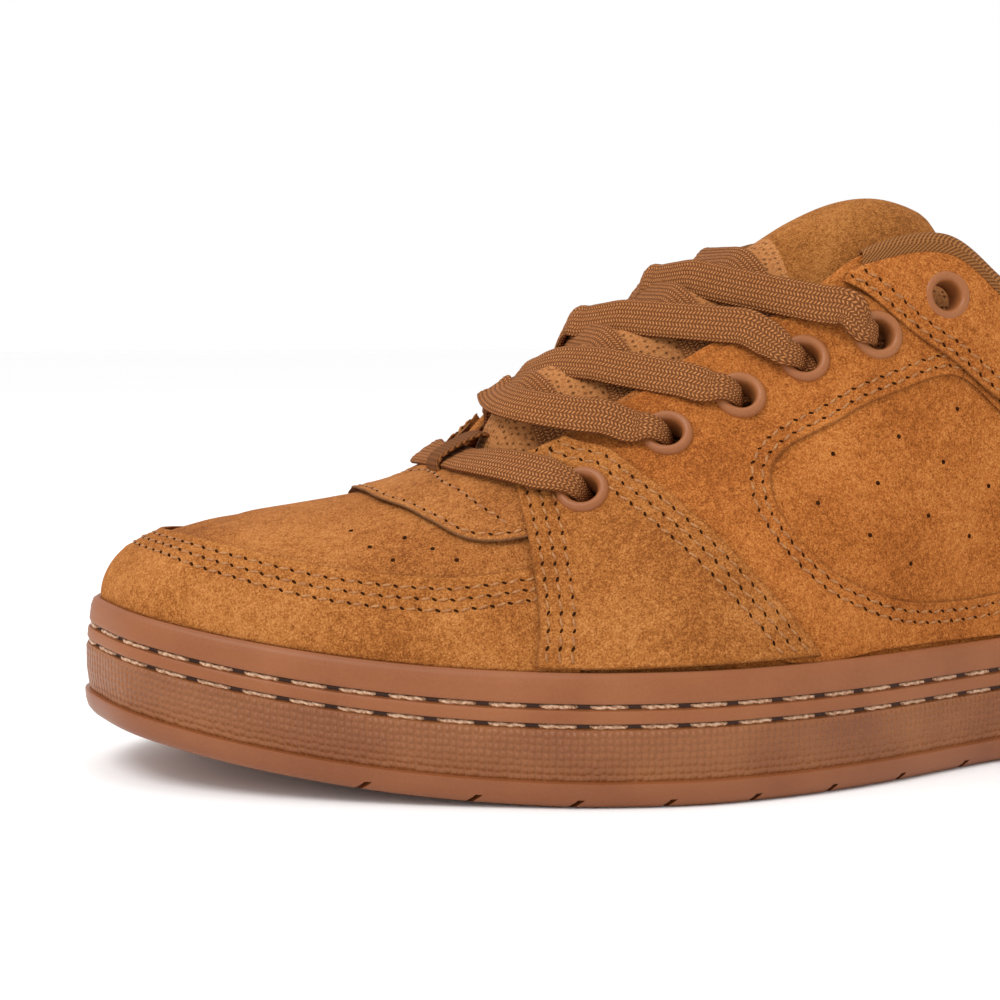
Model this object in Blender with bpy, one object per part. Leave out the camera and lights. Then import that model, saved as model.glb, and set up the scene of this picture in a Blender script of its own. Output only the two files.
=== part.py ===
"""Left skateboarding shoe: a low suede upper on a stitched rubber cupsole, standing on its sole.

Metres, +X to the toe, +Y to the lateral (outer) side, +Z up. The origin is on the resting plane,
under the middle of the sole's length.
"""

import math
from collections import namedtuple

import bmesh
import bpy
import numpy as np
from mathutils import Vector
from mathutils.bvhtree import BVHTree

LENGTH = 0.301
BALL_WIDTH = 0.115
WALL_HEIGHT = 0.0276
TOE_SPRING = 0.0130
SPRING_STARTS = 0.050
COLLAR_HEIGHT = 0.1175
ARCH_MIDDLE = -0.068
ARCH_REACH = 0.030
ARCH_LIFT = 0.0010
TONGUE_HEIGHT = 0.1275
CUP_WALL = 0.0046
GAP = 0.00035
LEATHER = 0.0022
FLOOR_FORE = 0.0125
FLOOR_HEEL = 0.0170
INSOLE_THICK = 0.0040
EYELET_WIDTH = 0.0114
EYELET_HOLE = 0.0060
LACE_WIDTH = 0.0088
LACE_THICK = 0.0015
KEEPER_WIDTH = 0.0100
KEEPER_THICK = 0.0010
KEEPER_ASIDE = 0.0020
LACE_AHEAD = 0.0045
LACE_SHORT = 0.0105
BAR_CLEAR = 0.0007
TREADS = (-0.125, -0.1065, -0.088, -0.0695, -0.051, -0.0325, -0.0135, 0.005, 0.0235, 0.042, 0.0604, 0.0798, 0.1007)
PANEL_LIFT = 0.0009
WINDOW_DEPTH = 0.0008
LACE_CLEAR = 0.00045
AROUND = 62

Section = namedtuple(
    "Section", "along side open_along open_side open_height in1 up1 in2 up2 rim"
)

# One row per section, from the heel back along the lateral side to the toe and home along the medial
# side. along and open_along are shares of LENGTH, side and open_side of BALL_WIDTH, open_height of
# COLLAR_HEIGHT. in1..up2 shape the wall between sole and opening, and rim is its thickness at the
# opening as a share of LEATHER.
SECTIONS = (
    Section(0.000, 0.048, 0.028, 0.042, 0.796, -0.70, 0.35, 0.10, 0.75, 3.6),
    Section(0.012, 0.178, 0.037, 0.112, 0.790, -0.60, 0.35, 0.12, 0.75, 3.6),
    Section(0.042, 0.282, 0.061, 0.177, 0.774, -0.30, 0.35, 0.30, 0.75, 3.6),
    Section(0.095, 0.350, 0.108, 0.234, 0.740, 0.00, 0.33, 0.50, 0.72, 3.6),
    Section(0.184, 0.386, 0.184, 0.275, 0.702, 0.05, 0.33, 0.60, 0.70, 3.6),
    Section(0.262, 0.388, 0.254, 0.283, 0.732, 0.08, 0.33, 0.62, 0.70, 3.6),
    Section(0.311, 0.390, 0.297, 0.275, 0.826, 0.10, 0.33, 0.64, 0.68, 3.2),
    Section(0.354, 0.402, 0.331, 0.264, 0.915, 0.12, 0.33, 0.66, 0.68, 2.6),
    Section(0.400, 0.436, 0.377, 0.247, 0.994, 0.15, 0.33, 0.68, 0.68, 2.0),
    Section(0.453, 0.480, 0.440, 0.226, 0.964, 0.14, 0.33, 0.66, 0.68, 1.5),
    Section(0.500, 0.510, 0.493, 0.198, 0.864, 0.12, 0.33, 0.60, 0.70, 1.2),
    Section(0.550, 0.530, 0.547, 0.180, 0.803, 0.10, 0.33, 0.56, 0.72, 1.2),
    Section(0.612, 0.534, 0.603, 0.174, 0.722, 0.09, 0.33, 0.56, 0.71, 1.2),
    Section(0.682, 0.497, 0.664, 0.170, 0.632, 0.08, 0.32, 0.57, 0.70, 1.2),
    Section(0.745, 0.436, 0.691, 0.143, 0.594, 0.03, 0.45, 0.55, 0.68, 1.2),
    Section(0.808, 0.366, 0.704, 0.113, 0.579, 0.00, 0.58, 0.55, 0.62, 1.2),
    Section(0.870, 0.284, 0.713, 0.083, 0.569, 0.00, 0.68, 0.56, 0.57, 1.2),
    Section(0.930, 0.185, 0.718, 0.052, 0.562, 0.00, 0.75, 0.57, 0.54, 1.2),
    Section(0.975, 0.075, 0.720, 0.022, 0.559, 0.00, 0.80, 0.58, 0.52, 1.2),
    Section(0.995, -0.040, 0.721, -0.004, 0.558, 0.00, 0.80, 0.58, 0.52, 1.2),
    Section(1.000, -0.125, 0.721, -0.030, 0.558, 0.00, 0.80, 0.58, 0.52, 1.2),
    Section(0.990, -0.215, 0.721, -0.057, 0.559, 0.00, 0.80, 0.58, 0.52, 1.2),
    Section(0.965, -0.300, 0.721, -0.083, 0.562, 0.00, 0.78, 0.58, 0.53, 1.2),
    Section(0.915, -0.385, 0.719, -0.109, 0.569, 0.00, 0.74, 0.57, 0.54, 1.2),
    Section(0.845, -0.440, 0.713, -0.136, 0.583, 0.00, 0.64, 0.55, 0.58, 1.2),
    Section(0.765, -0.462, 0.699, -0.160, 0.613, 0.03, 0.48, 0.55, 0.66, 1.2),
    Section(0.672, -0.450, 0.669, -0.183, 0.685, 0.06, 0.36, 0.56, 0.70, 1.2),
    Section(0.566, -0.416, 0.590, -0.191, 0.806, 0.10, 0.33, 0.56, 0.72, 1.2),
    Section(0.507, -0.394, 0.537, -0.213, 0.874, 0.12, 0.33, 0.58, 0.70, 1.2),
    Section(0.450, -0.376, 0.490, -0.239, 0.956, 0.14, 0.33, 0.64, 0.68, 1.5),
    Section(0.394, -0.361, 0.427, -0.257, 1.000, 0.15, 0.33, 0.64, 0.68, 2.0),
    Section(0.333, -0.348, 0.350, -0.261, 0.966, 0.12, 0.33, 0.60, 0.68, 2.6),
    Section(0.281, -0.336, 0.287, -0.252, 0.868, 0.10, 0.33, 0.60, 0.68, 3.2),
    Section(0.215, -0.322, 0.214, -0.226, 0.753, 0.06, 0.33, 0.60, 0.70, 3.6),
    Section(0.151, -0.302, 0.154, -0.196, 0.723, 0.04, 0.33, 0.58, 0.70, 3.6),
    Section(0.097, -0.272, 0.105, -0.152, 0.745, 0.00, 0.33, 0.50, 0.72, 3.6),
    Section(0.042, -0.190, 0.061, -0.091, 0.774, -0.30, 0.35, 0.30, 0.75, 3.6),
    Section(0.012, -0.078, 0.037, -0.028, 0.790, -0.60, 0.35, 0.12, 0.75, 3.6),
)

Band = namedtuple("Band", "inset up")

# The cupsole's side from its lower edge to its lip: the outsole band, the ledge, the textured band,
# two stitch grooves and the foxing. inset is in CUP_WALL shares, up in WALL_HEIGHT shares.
SIDE_BANDS = (
    Band(0.60, 0.000),
    Band(0.20, 0.030),
    Band(0.00, 0.192),
    Band(0.20, 0.204),
    Band(0.13, 0.584),
    Band(0.38, 0.596),
    Band(0.40, 0.626),
    Band(0.17, 0.638),
    Band(0.26, 0.728),
    Band(0.50, 0.740),
    Band(0.51, 0.768),
    Band(0.29, 0.780),
    Band(0.40, 0.920),
    Band(0.50, 0.975),
    Band(0.70, 1.000),
    Band(0.90, 0.995),
)

Crown = namedtuple("Crown", "along height half_width drop thick")

# The tongue from its sewn base under the vamp to its padded end. along is a share of LENGTH, height of
# TONGUE_HEIGHT, half_width of BALL_WIDTH, drop (crown to side) and thick of TONGUE_HEIGHT.
TONGUE = (
    Crown(0.748, 0.440, 0.120, 0.060, 0.022),
    Crown(0.733, 0.458, 0.135, 0.075, 0.028),
    Crown(0.717, 0.505, 0.155, 0.115, 0.040),
    Crown(0.703, 0.590, 0.185, 0.195, 0.052),
    Crown(0.684, 0.655, 0.205, 0.250, 0.060),
    Crown(0.650, 0.702, 0.225, 0.290, 0.064),
    Crown(0.600, 0.770, 0.235, 0.310, 0.066),
    Crown(0.550, 0.836, 0.240, 0.320, 0.068),
    Crown(0.500, 0.896, 0.240, 0.310, 0.072),
    Crown(0.458, 0.954, 0.232, 0.300, 0.080),
    Crown(0.420, 0.990, 0.222, 0.270, 0.088),
    Crown(0.385, 0.999, 0.212, 0.240, 0.092),
    Crown(0.352, 0.978, 0.205, 0.215, 0.080),
    Crown(0.332, 0.940, 0.195, 0.195, 0.050),
)

Eyelet = namedtuple("Eyelet", "name section rise lift")

# Six eyelets a side. section is the place among SECTIONS, rise the share of the wall's way up, and
# lift the step of the panel under the eyelet, in shares of PANEL_LIFT.
EYELETS = (
    Eyelet("eyelet_lateral_1", 12.95, 0.723, 1.4),
    Eyelet("eyelet_lateral_2", 11.94, 0.792, 0.0),
    Eyelet("eyelet_lateral_3", 10.95, 0.797, 0.0),
    Eyelet("eyelet_lateral_4", 9.96, 0.837, 0.0),
    Eyelet("eyelet_lateral_5", 8.90, 0.791, 0.0),
    Eyelet("eyelet_lateral_6", 8.01, 0.868, 1.0),
    Eyelet("eyelet_medial_1", 25.52, 0.740, 1.4),
    Eyelet("eyelet_medial_2", 26.25, 0.800, 0.0),
    Eyelet("eyelet_medial_3", 26.95, 0.800, 0.0),
    Eyelet("eyelet_medial_4", 27.95, 0.810, 0.0),
    Eyelet("eyelet_medial_5", 29.05, 0.780, 0.0),
    Eyelet("eyelet_medial_6", 30.05, 0.860, 1.0),
)

Edge = namedtuple("Edge", "place rise")

# Panel outlines on the upper: place counts along SECTIONS, rise is the share of the wall's way up.
TOE_RAND_TOP = (
    Edge(13.72, 0.43),
    Edge(14.30, 0.385),
    Edge(14.80, 0.350),
    Edge(16.00, 0.330),
    Edge(17.30, 0.348),
    Edge(19.00, 0.350),
    Edge(20.60, 0.335),
    Edge(22.00, 0.330),
    Edge(23.60, 0.335),
    Edge(24.60, 0.370),
    Edge(25.15, 0.430),
)
COLLAR_SEAM_LATERAL = (
    Edge(9.28, 0.955),
    Edge(8.96, 0.890),
    Edge(8.65, 0.815),
    Edge(8.33, 0.755),
    Edge(7.95, 0.715),
    Edge(7.40, 0.690),
    Edge(6.80, 0.685),
    Edge(5.50, 0.665),
    Edge(4.00, 0.640),
    Edge(2.00, 0.620),
    Edge(0.00, 0.610),
)
COLLAR_SEAM_MEDIAL = (
    Edge(38.00, 0.610),
    Edge(36.00, 0.620),
    Edge(34.00, 0.640),
    Edge(32.60, 0.665),
    Edge(31.60, 0.685),
    Edge(31.00, 0.690),
    Edge(30.50, 0.715),
    Edge(30.10, 0.755),
    Edge(29.75, 0.815),
    Edge(29.45, 0.890),
    Edge(29.15, 0.955),
)
SIDE_PANEL_LATERAL = (
    Edge(13.82, 0.60),
    Edge(13.70, 0.43),
    Edge(13.65, 0.22),
    Edge(13.66, 0.04),
    Edge(12.00, 0.035),
    Edge(10.40, 0.04),
    Edge(10.75, 0.14),
    Edge(11.14, 0.25),
    Edge(11.57, 0.40),
    Edge(11.97, 0.55),
    Edge(12.32, 0.70),
    Edge(12.57, 0.83),
    Edge(12.88, 0.92),
    Edge(13.25, 0.93),
    Edge(13.70, 0.90),
    Edge(13.98, 0.80),
)
SIDE_PANEL_MEDIAL = (
    Edge(25.08, 0.60),
    Edge(25.15, 0.43),
    Edge(25.18, 0.22),
    Edge(25.18, 0.04),
    Edge(26.30, 0.035),
    Edge(27.65, 0.04),
    Edge(27.30, 0.14),
    Edge(27.00, 0.25),
    Edge(26.68, 0.40),
    Edge(26.38, 0.55),
    Edge(26.12, 0.70),
    Edge(25.95, 0.83),
    Edge(25.75, 0.92),
    Edge(25.45, 0.93),
    Edge(25.12, 0.90),
    Edge(24.95, 0.80),
)
WINDOW_LATERAL = (
    Edge(7.69, 0.67),
    Edge(8.62, 0.63),
    Edge(9.39, 0.62),
    Edge(10.20, 0.62),
    Edge(10.68, 0.57),
    Edge(10.76, 0.48),
    Edge(10.58, 0.39),
    Edge(10.22, 0.30),
    Edge(9.64, 0.21),
    Edge(8.72, 0.135),
    Edge(7.79, 0.12),
    Edge(6.72, 0.15),
    Edge(5.60, 0.22),
    Edge(5.20, 0.33),
    Edge(5.30, 0.46),
    Edge(5.90, 0.57),
    Edge(6.80, 0.64),
)
WINDOW_MEDIAL = (
    Edge(30.70, 0.67),
    Edge(30.00, 0.63),
    Edge(29.20, 0.62),
    Edge(28.30, 0.62),
    Edge(27.65, 0.57),
    Edge(27.55, 0.48),
    Edge(27.70, 0.39),
    Edge(28.10, 0.30),
    Edge(28.80, 0.21),
    Edge(29.70, 0.135),
    Edge(30.60, 0.12),
    Edge(31.40, 0.15),
    Edge(32.20, 0.22),
    Edge(32.55, 0.33),
    Edge(32.50, 0.46),
    Edge(32.10, 0.57),
    Edge(31.50, 0.64),
)


def place_along(share):
    """X of a share of the length from the heel."""
    return (share - 0.5) * LENGTH


def smooth_rows(rows, places):
    """Values of closed rows (Catmull-Rom) at fractional row places."""
    rows = np.asarray(rows, float)
    count = len(rows)
    places = np.asarray(places, float)
    low = np.floor(places).astype(int)
    part = (places - low)[:, None]
    before, here, after, next_one = (rows[(low + k) % count] for k in (-1, 0, 1, 2))
    return 0.5 * (
        2 * here
        + (after - before) * part
        + (2 * before - 5 * here + 4 * after - next_one) * part**2
        + (3 * here - before - 3 * after + next_one) * part**3
    )


def section_values(places):
    """SECTIONS, smoothed, at fractional places."""
    return smooth_rows([tuple(row) for row in SECTIONS], places)


def even_places(count):
    """Places among SECTIONS that divide the sole's outline evenly."""
    fine = np.linspace(0, len(SECTIONS), 1521)
    values = section_values(fine)
    points = np.column_stack([values[:, 0] * LENGTH, values[:, 1] * BALL_WIDTH])
    steps = np.hypot(*np.diff(points, axis=0).T)
    walked = np.concatenate([[0], np.cumsum(steps)])
    wanted = np.linspace(0, walked[-1], count, endpoint=False)
    return np.interp(wanted, walked, fine)


def outline(places, inset):
    """The sole's outline seen from above, moved inwards by inset."""
    step = 0.02
    points = []
    for shift in (-step, 0, step):
        values = section_values(np.asarray(places) + shift)
        points.append(np.column_stack([place_along(values[:, 0]), values[:, 1] * BALL_WIDTH]))
    tangent = points[2] - points[0]
    tangent /= np.linalg.norm(tangent, axis=1)[:, None]
    inward = np.column_stack([tangent[:, 1], -tangent[:, 0]])
    return points[1] + inward * np.reshape(inset, (-1, 1))


def sole_bottom(x):
    """Height of the sole's underside: flat from the heel to the ball, then rising to the toe."""
    share = np.clip((x - SPRING_STARTS) / (LENGTH / 2 - SPRING_STARTS), 0, 1)
    arch = np.clip(1 - np.abs(x - ARCH_MIDDLE) / ARCH_REACH, 0, 1)
    return TOE_SPRING * share**2.1 + ARCH_LIFT * arch * arch * (3 - 2 * arch)


def wall_scale(x):
    """The side wall is a little lower at the toe and higher at the heel."""
    toe = np.clip((x - 0.060) / 0.090, 0, 1)
    heel = np.clip((-0.050 - x) / 0.100, 0, 1)
    return 1 - 0.055 * toe + 0.13 * heel**1.4


def wall_at(x, up):
    """Height of a share of the side wall."""
    return sole_bottom(x) + up * WALL_HEIGHT * wall_scale(x)


def cup_floor(x):
    """Height of the floor inside the cupsole, higher under the heel."""
    heel = np.clip((0.030 - x) / 0.110, 0, 1)
    heel = heel * heel * (3 - 2 * heel)
    return sole_bottom(x) + FLOOR_FORE + (FLOOR_HEEL - FLOOR_FORE) * heel


def ring(flat, height):
    """A ring of 3-D points from plan points and heights."""
    return np.column_stack([flat, np.broadcast_to(height, len(flat))])


def surface_object(name, rings, closed, colour, rough):
    """A named object skinned over rings: closed on itself, or capped at both ends."""
    mesh = bmesh.new()
    rows = [[mesh.verts.new(point) for point in row] for row in rings]
    pairs = list(zip(rows, rows[1:]))
    if closed:
        pairs.append((rows[-1], rows[0]))
    for low, high in pairs:
        for k in range(len(low)):
            after = (k + 1) % len(low)
            mesh.faces.new((low[k], low[after], high[after], high[k]))
    if not closed:
        mesh.faces.new(list(reversed(rows[0])))
        mesh.faces.new(rows[-1])
    bmesh.ops.triangulate(mesh, faces=mesh.faces[:])
    bmesh.ops.recalc_face_normals(mesh, faces=mesh.faces[:])
    data = bpy.data.meshes.new(name)
    mesh.to_mesh(data)
    mesh.free()
    found = bpy.data.objects.new(name, data)
    shoe.objects.link(found)
    found.data.materials.append(material(name, colour, rough))
    return found


def material(name, colour, rough):
    """A plain finish for one piece."""
    finish = bpy.data.materials.new(name)
    finish.use_nodes = True
    shader = finish.node_tree.nodes["Principled BSDF"]
    shader.inputs["Base Color"].default_value = (*colour, 1)
    shader.inputs["Roughness"].default_value = rough
    finish.diffuse_color = (*colour, 1)
    return finish


def combine(target, others, operation):
    """Boolean of hidden shapes on the target."""
    for other in others:
        cut = target.modifiers.new(operation.lower(), "BOOLEAN")
        cut.operation = operation
        cut.solver = "EXACT"
        cut.object = other


def hide_shape(found):
    """Moves a cutter or a joined shape out of the shoe."""
    shoe.objects.unlink(found)
    helpers.objects.link(found)
    found.hide_render = True
    found.display_type = "WIRE"


def box_shape(name, centre, half, lean):
    """A box with a sideways lean, used as a cutter."""
    corners = []
    for z in (-half[2], half[2]):
        for x, y in ((-1, -1), (1, -1), (1, 1), (-1, 1)):
            corners.append((centre[0] + x * half[0] + lean * z, centre[1] + y * half[1], centre[2] + z))
    found = surface_object(name, [corners[:4], corners[4:]], False, (0.5, 0.5, 0.5), 0.5)
    hide_shape(found)
    return found


def cap_rings(places, inset, height_of):
    """Rings that close a cap towards the shoe's middle line."""
    start = outline(places, inset)
    middle = np.column_stack([np.clip(start[:, 0], -0.118, 0.112) * 0.9, start[:, 1] * 0 - 0.002])
    middle[:, 1] += 0.006 * np.sign(start[:, 1] + 0.002)
    found = []
    for share in (0.45, 0.88):
        flat = start * (1 - share) + middle * share
        found.append(ring(flat, height_of(flat[:, 0])))
    return found


def build_cupsole(places):
    """The rubber cup: side bands and grooves outside, a floor inside, tread grooves below."""
    rings = list(reversed(cap_rings(places, 0.60 * CUP_WALL, sole_bottom)))
    for band in SIDE_BANDS:
        flat = outline(places, band.inset * CUP_WALL)
        rings.append(ring(flat, wall_at(flat[:, 0], band.up)))
    lip = outline(places, CUP_WALL)
    rings.append(ring(lip, wall_at(lip[:, 0], 0.975)))
    foot = outline(places, CUP_WALL + 0.0003)
    rings.append(ring(foot, cup_floor(foot[:, 0])))
    rings.extend(cap_rings(places, CUP_WALL + 0.0003, cup_floor))
    cupsole = surface_object("cupsole", rings, False, (0.35, 0.14, 0.066), 0.5)
    cutters = []
    for number, x in enumerate(TREADS):
        centre = (x, 0.0, float(sole_bottom(x)) - 0.0002)
        cutters.append(box_shape(f"tread_cut_{number}", centre, (0.0007, 0.075, 0.0021), -1.0))
    combine(cupsole, cutters, "DIFFERENCE")
    return cupsole


def build_insole():
    """The removable footbed, a little dished at the heel."""
    places = even_places(40)
    inset = CUP_WALL + LEATHER + 4.5 * GAP
    low = outline(places, inset)
    bottom = cup_floor(low[:, 0]) + GAP
    dish = 0.004 * np.clip((-0.02 - low[:, 0]) / 0.08, 0, 1)
    top = bottom + INSOLE_THICK + dish
    rings = [ring(r[:, :2], r[:, 2] + GAP) for r in reversed(cap_rings(places, inset, cup_floor))]
    rings.append(ring(low, bottom))
    rings.append(ring(low, top - 0.0006))
    rings.append(ring(outline(places, inset + 0.0008), top))
    for share, inner in zip((0.0, 1.0), cap_rings(places, inset + 0.006, cup_floor)):
        rings.append(ring(inner[:, :2], inner[:, 2] + GAP + INSOLE_THICK))
    return surface_object("insole", rings, False, (0.20, 0.11, 0.06), 0.8)


def wall_path(places, rises):
    """Outer surface of the upper: one row of points for each rise from the lip to the opening."""
    values = section_values(places)
    flat = outline(places, CUP_WALL + GAP)
    start = ring(flat, wall_at(flat[:, 0], 0.96))
    edge = np.column_stack(
        [place_along(values[:, 2]), values[:, 3] * BALL_WIDTH, values[:, 4] * COLLAR_HEIGHT]
    )
    span = edge - start
    last = np.column_stack(
        [span[:, :2] * (1 - values[:, 7:8]), span[:, 2:] * (1 - values[:, 8:9])]
    )
    last /= np.linalg.norm(last, axis=1)[:, None]
    level = span[:, :2] / np.linalg.norm(span[:, :2], axis=1)[:, None]
    lean = np.linalg.norm(last[:, :2], axis=1)
    out = np.column_stack([-level * last[:, 2:], lean])
    half = (values[:, 9] * LEATHER / 2)[:, None]
    end = edge - last * half + out * half
    span = end - start
    rows = []
    for rise in rises:
        a, b, c = 3 * rise * (1 - rise) ** 2, 3 * rise**2 * (1 - rise), rise**3
        inwards = a * values[:, 5] + b * values[:, 7] + c
        upwards = a * values[:, 6] + b * values[:, 8] + c
        rows.append(
            start
            + np.column_stack([span[:, :2] * inwards[:, None], span[:, 2] * upwards])
        )
    return rows, edge, last, out, half


def wall_normals(places, rise):
    """Outward directions of the wall at one rise."""
    step = 0.01
    low, high = wall_path(places, (max(rise - step, 0), min(rise + step, 1)))[0]
    left = wall_path(np.asarray(places) - 0.05, (rise,))[0][0]
    right = wall_path(np.asarray(places) + 0.05, (rise,))[0][0]
    normal = np.cross(high - low, right - left)
    return normal / np.linalg.norm(normal, axis=1)[:, None]


def wall_thickness(places, rise):
    """Leather low down, padding towards the collar."""
    rim = section_values(places)[:, 9]
    share = min(max((rise - 0.45) / 0.45, 0), 1)
    share = share * share * (3 - 2 * share)
    return LEATHER * (1 + (np.maximum(rim, 1) - 1) * share)


def build_upper(places):
    """The upper's hollow shell, open at the collar and throat and underneath."""
    rises = (0.0, 0.10, 0.21, 0.34, 0.47, 0.60, 0.73, 0.87, 1.0)
    rows, edge, last, out, half = wall_path(places, rises)
    under = outline(places, CUP_WALL + 0.0003 + GAP)
    rings = [ring(under, cup_floor(under[:, 0]) + GAP)]
    rings.extend(rows)
    rings.append(edge - last * half * 0.3 + out * half * 0.7)
    rings.append(edge)
    rings.append(edge - last * half * 0.3 - out * half * 0.7)
    for rise in (1.0, 0.84, 0.62, 0.34, 0.0):
        outer = wall_path(places, (rise,))[0][0]
        thick = wall_thickness(places, rise)[:, None]
        rings.append(outer - wall_normals(places, rise) * thick)
    inner = outline(places, CUP_WALL + 0.0003 + GAP + LEATHER)
    rings.append(ring(inner, cup_floor(inner[:, 0]) + GAP))
    return surface_object("upper", rings, True, (0.45, 0.15, 0.035), 0.95)


def frame_at(place, rise, lift=0.0):
    """Centre and directions of an eyelet on the wall: along, down the wall, outward."""
    centre = wall_path([place], (rise,))[0][0][0]
    outward = wall_normals([place], rise)[0]
    low, high = (row[0] for row in wall_path([place], (rise - 0.02, rise + 0.02))[0])
    upward = high - low
    upward -= outward * np.dot(upward, outward)
    upward /= np.linalg.norm(upward)
    return centre + outward * lift, np.cross(upward, outward), upward, outward


def turned(name, frame, profile, count, colour, rough):
    """A ring-shaped solid from a profile of (radius, height) turned about the outward direction."""
    centre, along, upward, outward = frame
    rings = []
    for radius, height in profile:
        turn = [2 * math.pi * k / count for k in range(count)]
        rings.append(
            [centre + along * radius * math.cos(t) + upward * radius * math.sin(t) + outward * height for t in turn]
        )
    return surface_object(name, rings, True, colour, rough)


def rod_shape(name, frame, radius, reach):
    """A round cutter through the wall."""
    centre, along, upward, outward = frame
    rings = []
    for height in (-reach, reach):
        turn = [2 * math.pi * k / 16 for k in range(16)]
        rings.append(
            [centre + along * radius * math.cos(t) + upward * radius * math.sin(t) + outward * height for t in turn]
        )
    found = surface_object(name, rings, False, (0.5, 0.5, 0.5), 0.5)
    hide_shape(found)
    return found


def patch(name, outline_points, low_lift, high_lift):
    """A slab over part of the wall, inside a closed outline of (place, rise) points."""
    outline_points = np.asarray(outline_points, float)
    count = len(outline_points)
    loop = smooth_rows(outline_points, np.linspace(0, count, 2 * count, endpoint=False))
    middle = loop.mean(axis=0)
    layers = []
    for lift in (low_lift, high_lift):
        rings = []
        for share in (0.0, 0.4, 0.8):
            spots = loop * (1 - share) + middle * share
            rings.append(lifted(spots[:, 0], spots[:, 1], lift))
        layers.append(rings)
    rings = layers[0][::-1] + layers[1]
    found = surface_object(name, rings, False, (0.5, 0.5, 0.5), 0.5)
    hide_shape(found)
    return found


def lifted(places, rises, lift):
    """Points of the wall at (place, rise) pairs, moved outwards by lift."""
    points = wall_path(places, (rises,))[0][0]
    step = 0.01
    low, high = wall_path(places, (rises - step, rises + step))[0]
    left = wall_path(np.asarray(places) - 0.05, (rises,))[0][0]
    right = wall_path(np.asarray(places) + 0.05, (rises,))[0][0]
    normal = np.cross(high - low, right - left)
    return points + lift * normal / np.linalg.norm(normal, axis=1)[:, None]


def strip(name, edges, others, low_lift, high_lift, count):
    """A slab over the wall between two lines of (place, rise) points."""
    low = smooth_line(edges, count)
    high = smooth_line(others, count)
    rings = []
    for near, far in zip(low, high):
        spots = np.linspace(near, far, 4)
        under = lifted(spots[:, 0], spots[:, 1], low_lift)
        over = lifted(spots[:, 0], spots[:, 1], high_lift)
        rings.append(np.vstack([under, over[::-1]]))
    found = surface_object(name, rings, False, (0.5, 0.5, 0.5), 0.5)
    hide_shape(found)
    return found


def build_panels(upper):
    """Steps in the wall: toe rand, side panels, collar panel and the set-in windows."""
    under, over = -0.0012, PANEL_LIFT
    rand_low = [Edge(edge.place, 0.035) for edge in TOE_RAND_TOP]
    medial = tuple(Edge(edge.place - len(SECTIONS), edge.rise) for edge in COLLAR_SEAM_MEDIAL)
    around = medial[::-1][:-1] + COLLAR_SEAM_LATERAL[::-1]
    collar_top = [Edge(edge.place, 0.975) for edge in around]
    shapes = [
        strip("rand_form", TOE_RAND_TOP, rand_low, under, over, 22),
        strip("collar_form", around, collar_top, under, over, 34),
        patch("side_form_lateral", SIDE_PANEL_LATERAL, under, over * 1.4),
        patch("side_form_medial", SIDE_PANEL_MEDIAL, under, over * 1.4),
    ]
    windows = [
        patch("window_lateral", WINDOW_LATERAL, -WINDOW_DEPTH, 0.002),
        patch("window_medial", WINDOW_MEDIAL, -WINDOW_DEPTH, 0.002),
    ]
    combine(upper, shapes, "UNION")
    combine(upper, windows, "DIFFERENCE")


def build_eyelets(upper):
    """Rolled rings in holes through the upper."""
    tube = EYELET_HOLE / 2
    outer = EYELET_WIDTH / 2
    profile = (
        (tube, -0.0018),
        (tube, 0.0010),
        (tube + 0.0012, 0.0019),
        (outer - 0.0008, 0.0016),
        (outer, 0.0005),
        (tube + 0.0008, 0.0004),
        (tube + 0.0007, -0.0018),
    )
    cutters = []
    for eyelet in EYELETS:
        frame = frame_at(eyelet.section, eyelet.rise, eyelet.lift * PANEL_LIFT)
        turned(eyelet.name, frame, profile, 11, (0.50, 0.24, 0.15), 0.4)
        cutters.append(rod_shape(f"{eyelet.name}_cut", frame, tube + 0.0011, 0.009))
    combine(upper, cutters, "DIFFERENCE")


def smooth_line(points, count):
    """Even points on a smooth open line through the given ones."""
    points = np.asarray(points, float)
    ends = np.vstack([2 * points[0] - points[1], points, 2 * points[-1] - points[-2]])
    fine = []
    for k in range(1, len(ends) - 2):
        for part in np.linspace(0, 1, 16, endpoint=False):
            fine.append(smooth_rows(ends, [k + part])[0])
    fine = np.array(fine + [points[-1]])
    walked = np.concatenate([[0], np.cumsum(np.linalg.norm(np.diff(fine, axis=0), axis=1))])
    wanted = np.linspace(0, walked[-1], count)
    return np.column_stack([np.interp(wanted, walked, fine[:, k]) for k in range(fine.shape[1])])


def tongue_stations(count):
    """Rows of the tongue table, smoothed: x, crown height, half width, drop, thickness."""
    rows = np.array([tuple(row) for row in TONGUE])
    sizes = np.array([LENGTH, TONGUE_HEIGHT, BALL_WIDTH, TONGUE_HEIGHT, TONGUE_HEIGHT])
    rows = rows * sizes
    rows[:, 0] -= LENGTH / 2
    return smooth_line(rows, count)


def build_tongue():
    """The padded tongue: arched across, thick at its end, under both eyestays."""
    stations = tongue_stations(18)
    spread = np.linspace(-1, 1, 9)
    rings = []
    for number, (x, crown, half_width, drop, thick) in enumerate(stations):
        low = stations[max(number - 1, 0)]
        high = stations[min(number + 1, len(stations) - 1)]
        slope = math.atan2(high[1] - low[1], low[0] - high[0])
        top = [(x, s * half_width, crown - drop * s * s) for s in spread]
        under = []
        for s in spread[::-1]:
            depth = thick * (1 - 0.55 * s * s)
            under.append(
                (x - depth * math.sin(slope), s * (half_width - 0.001), crown - drop * s * s - depth * math.cos(slope))
            )
        rings.append(top + under)
    return surface_object("tongue", rings, False, (0.42, 0.15, 0.04), 0.9)


def surface_tree(found):
    """A search tree over a piece as its modifiers leave it."""
    bpy.context.view_layer.update()
    return BVHTree.FromObject(found, bpy.context.evaluated_depsgraph_get())


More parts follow.
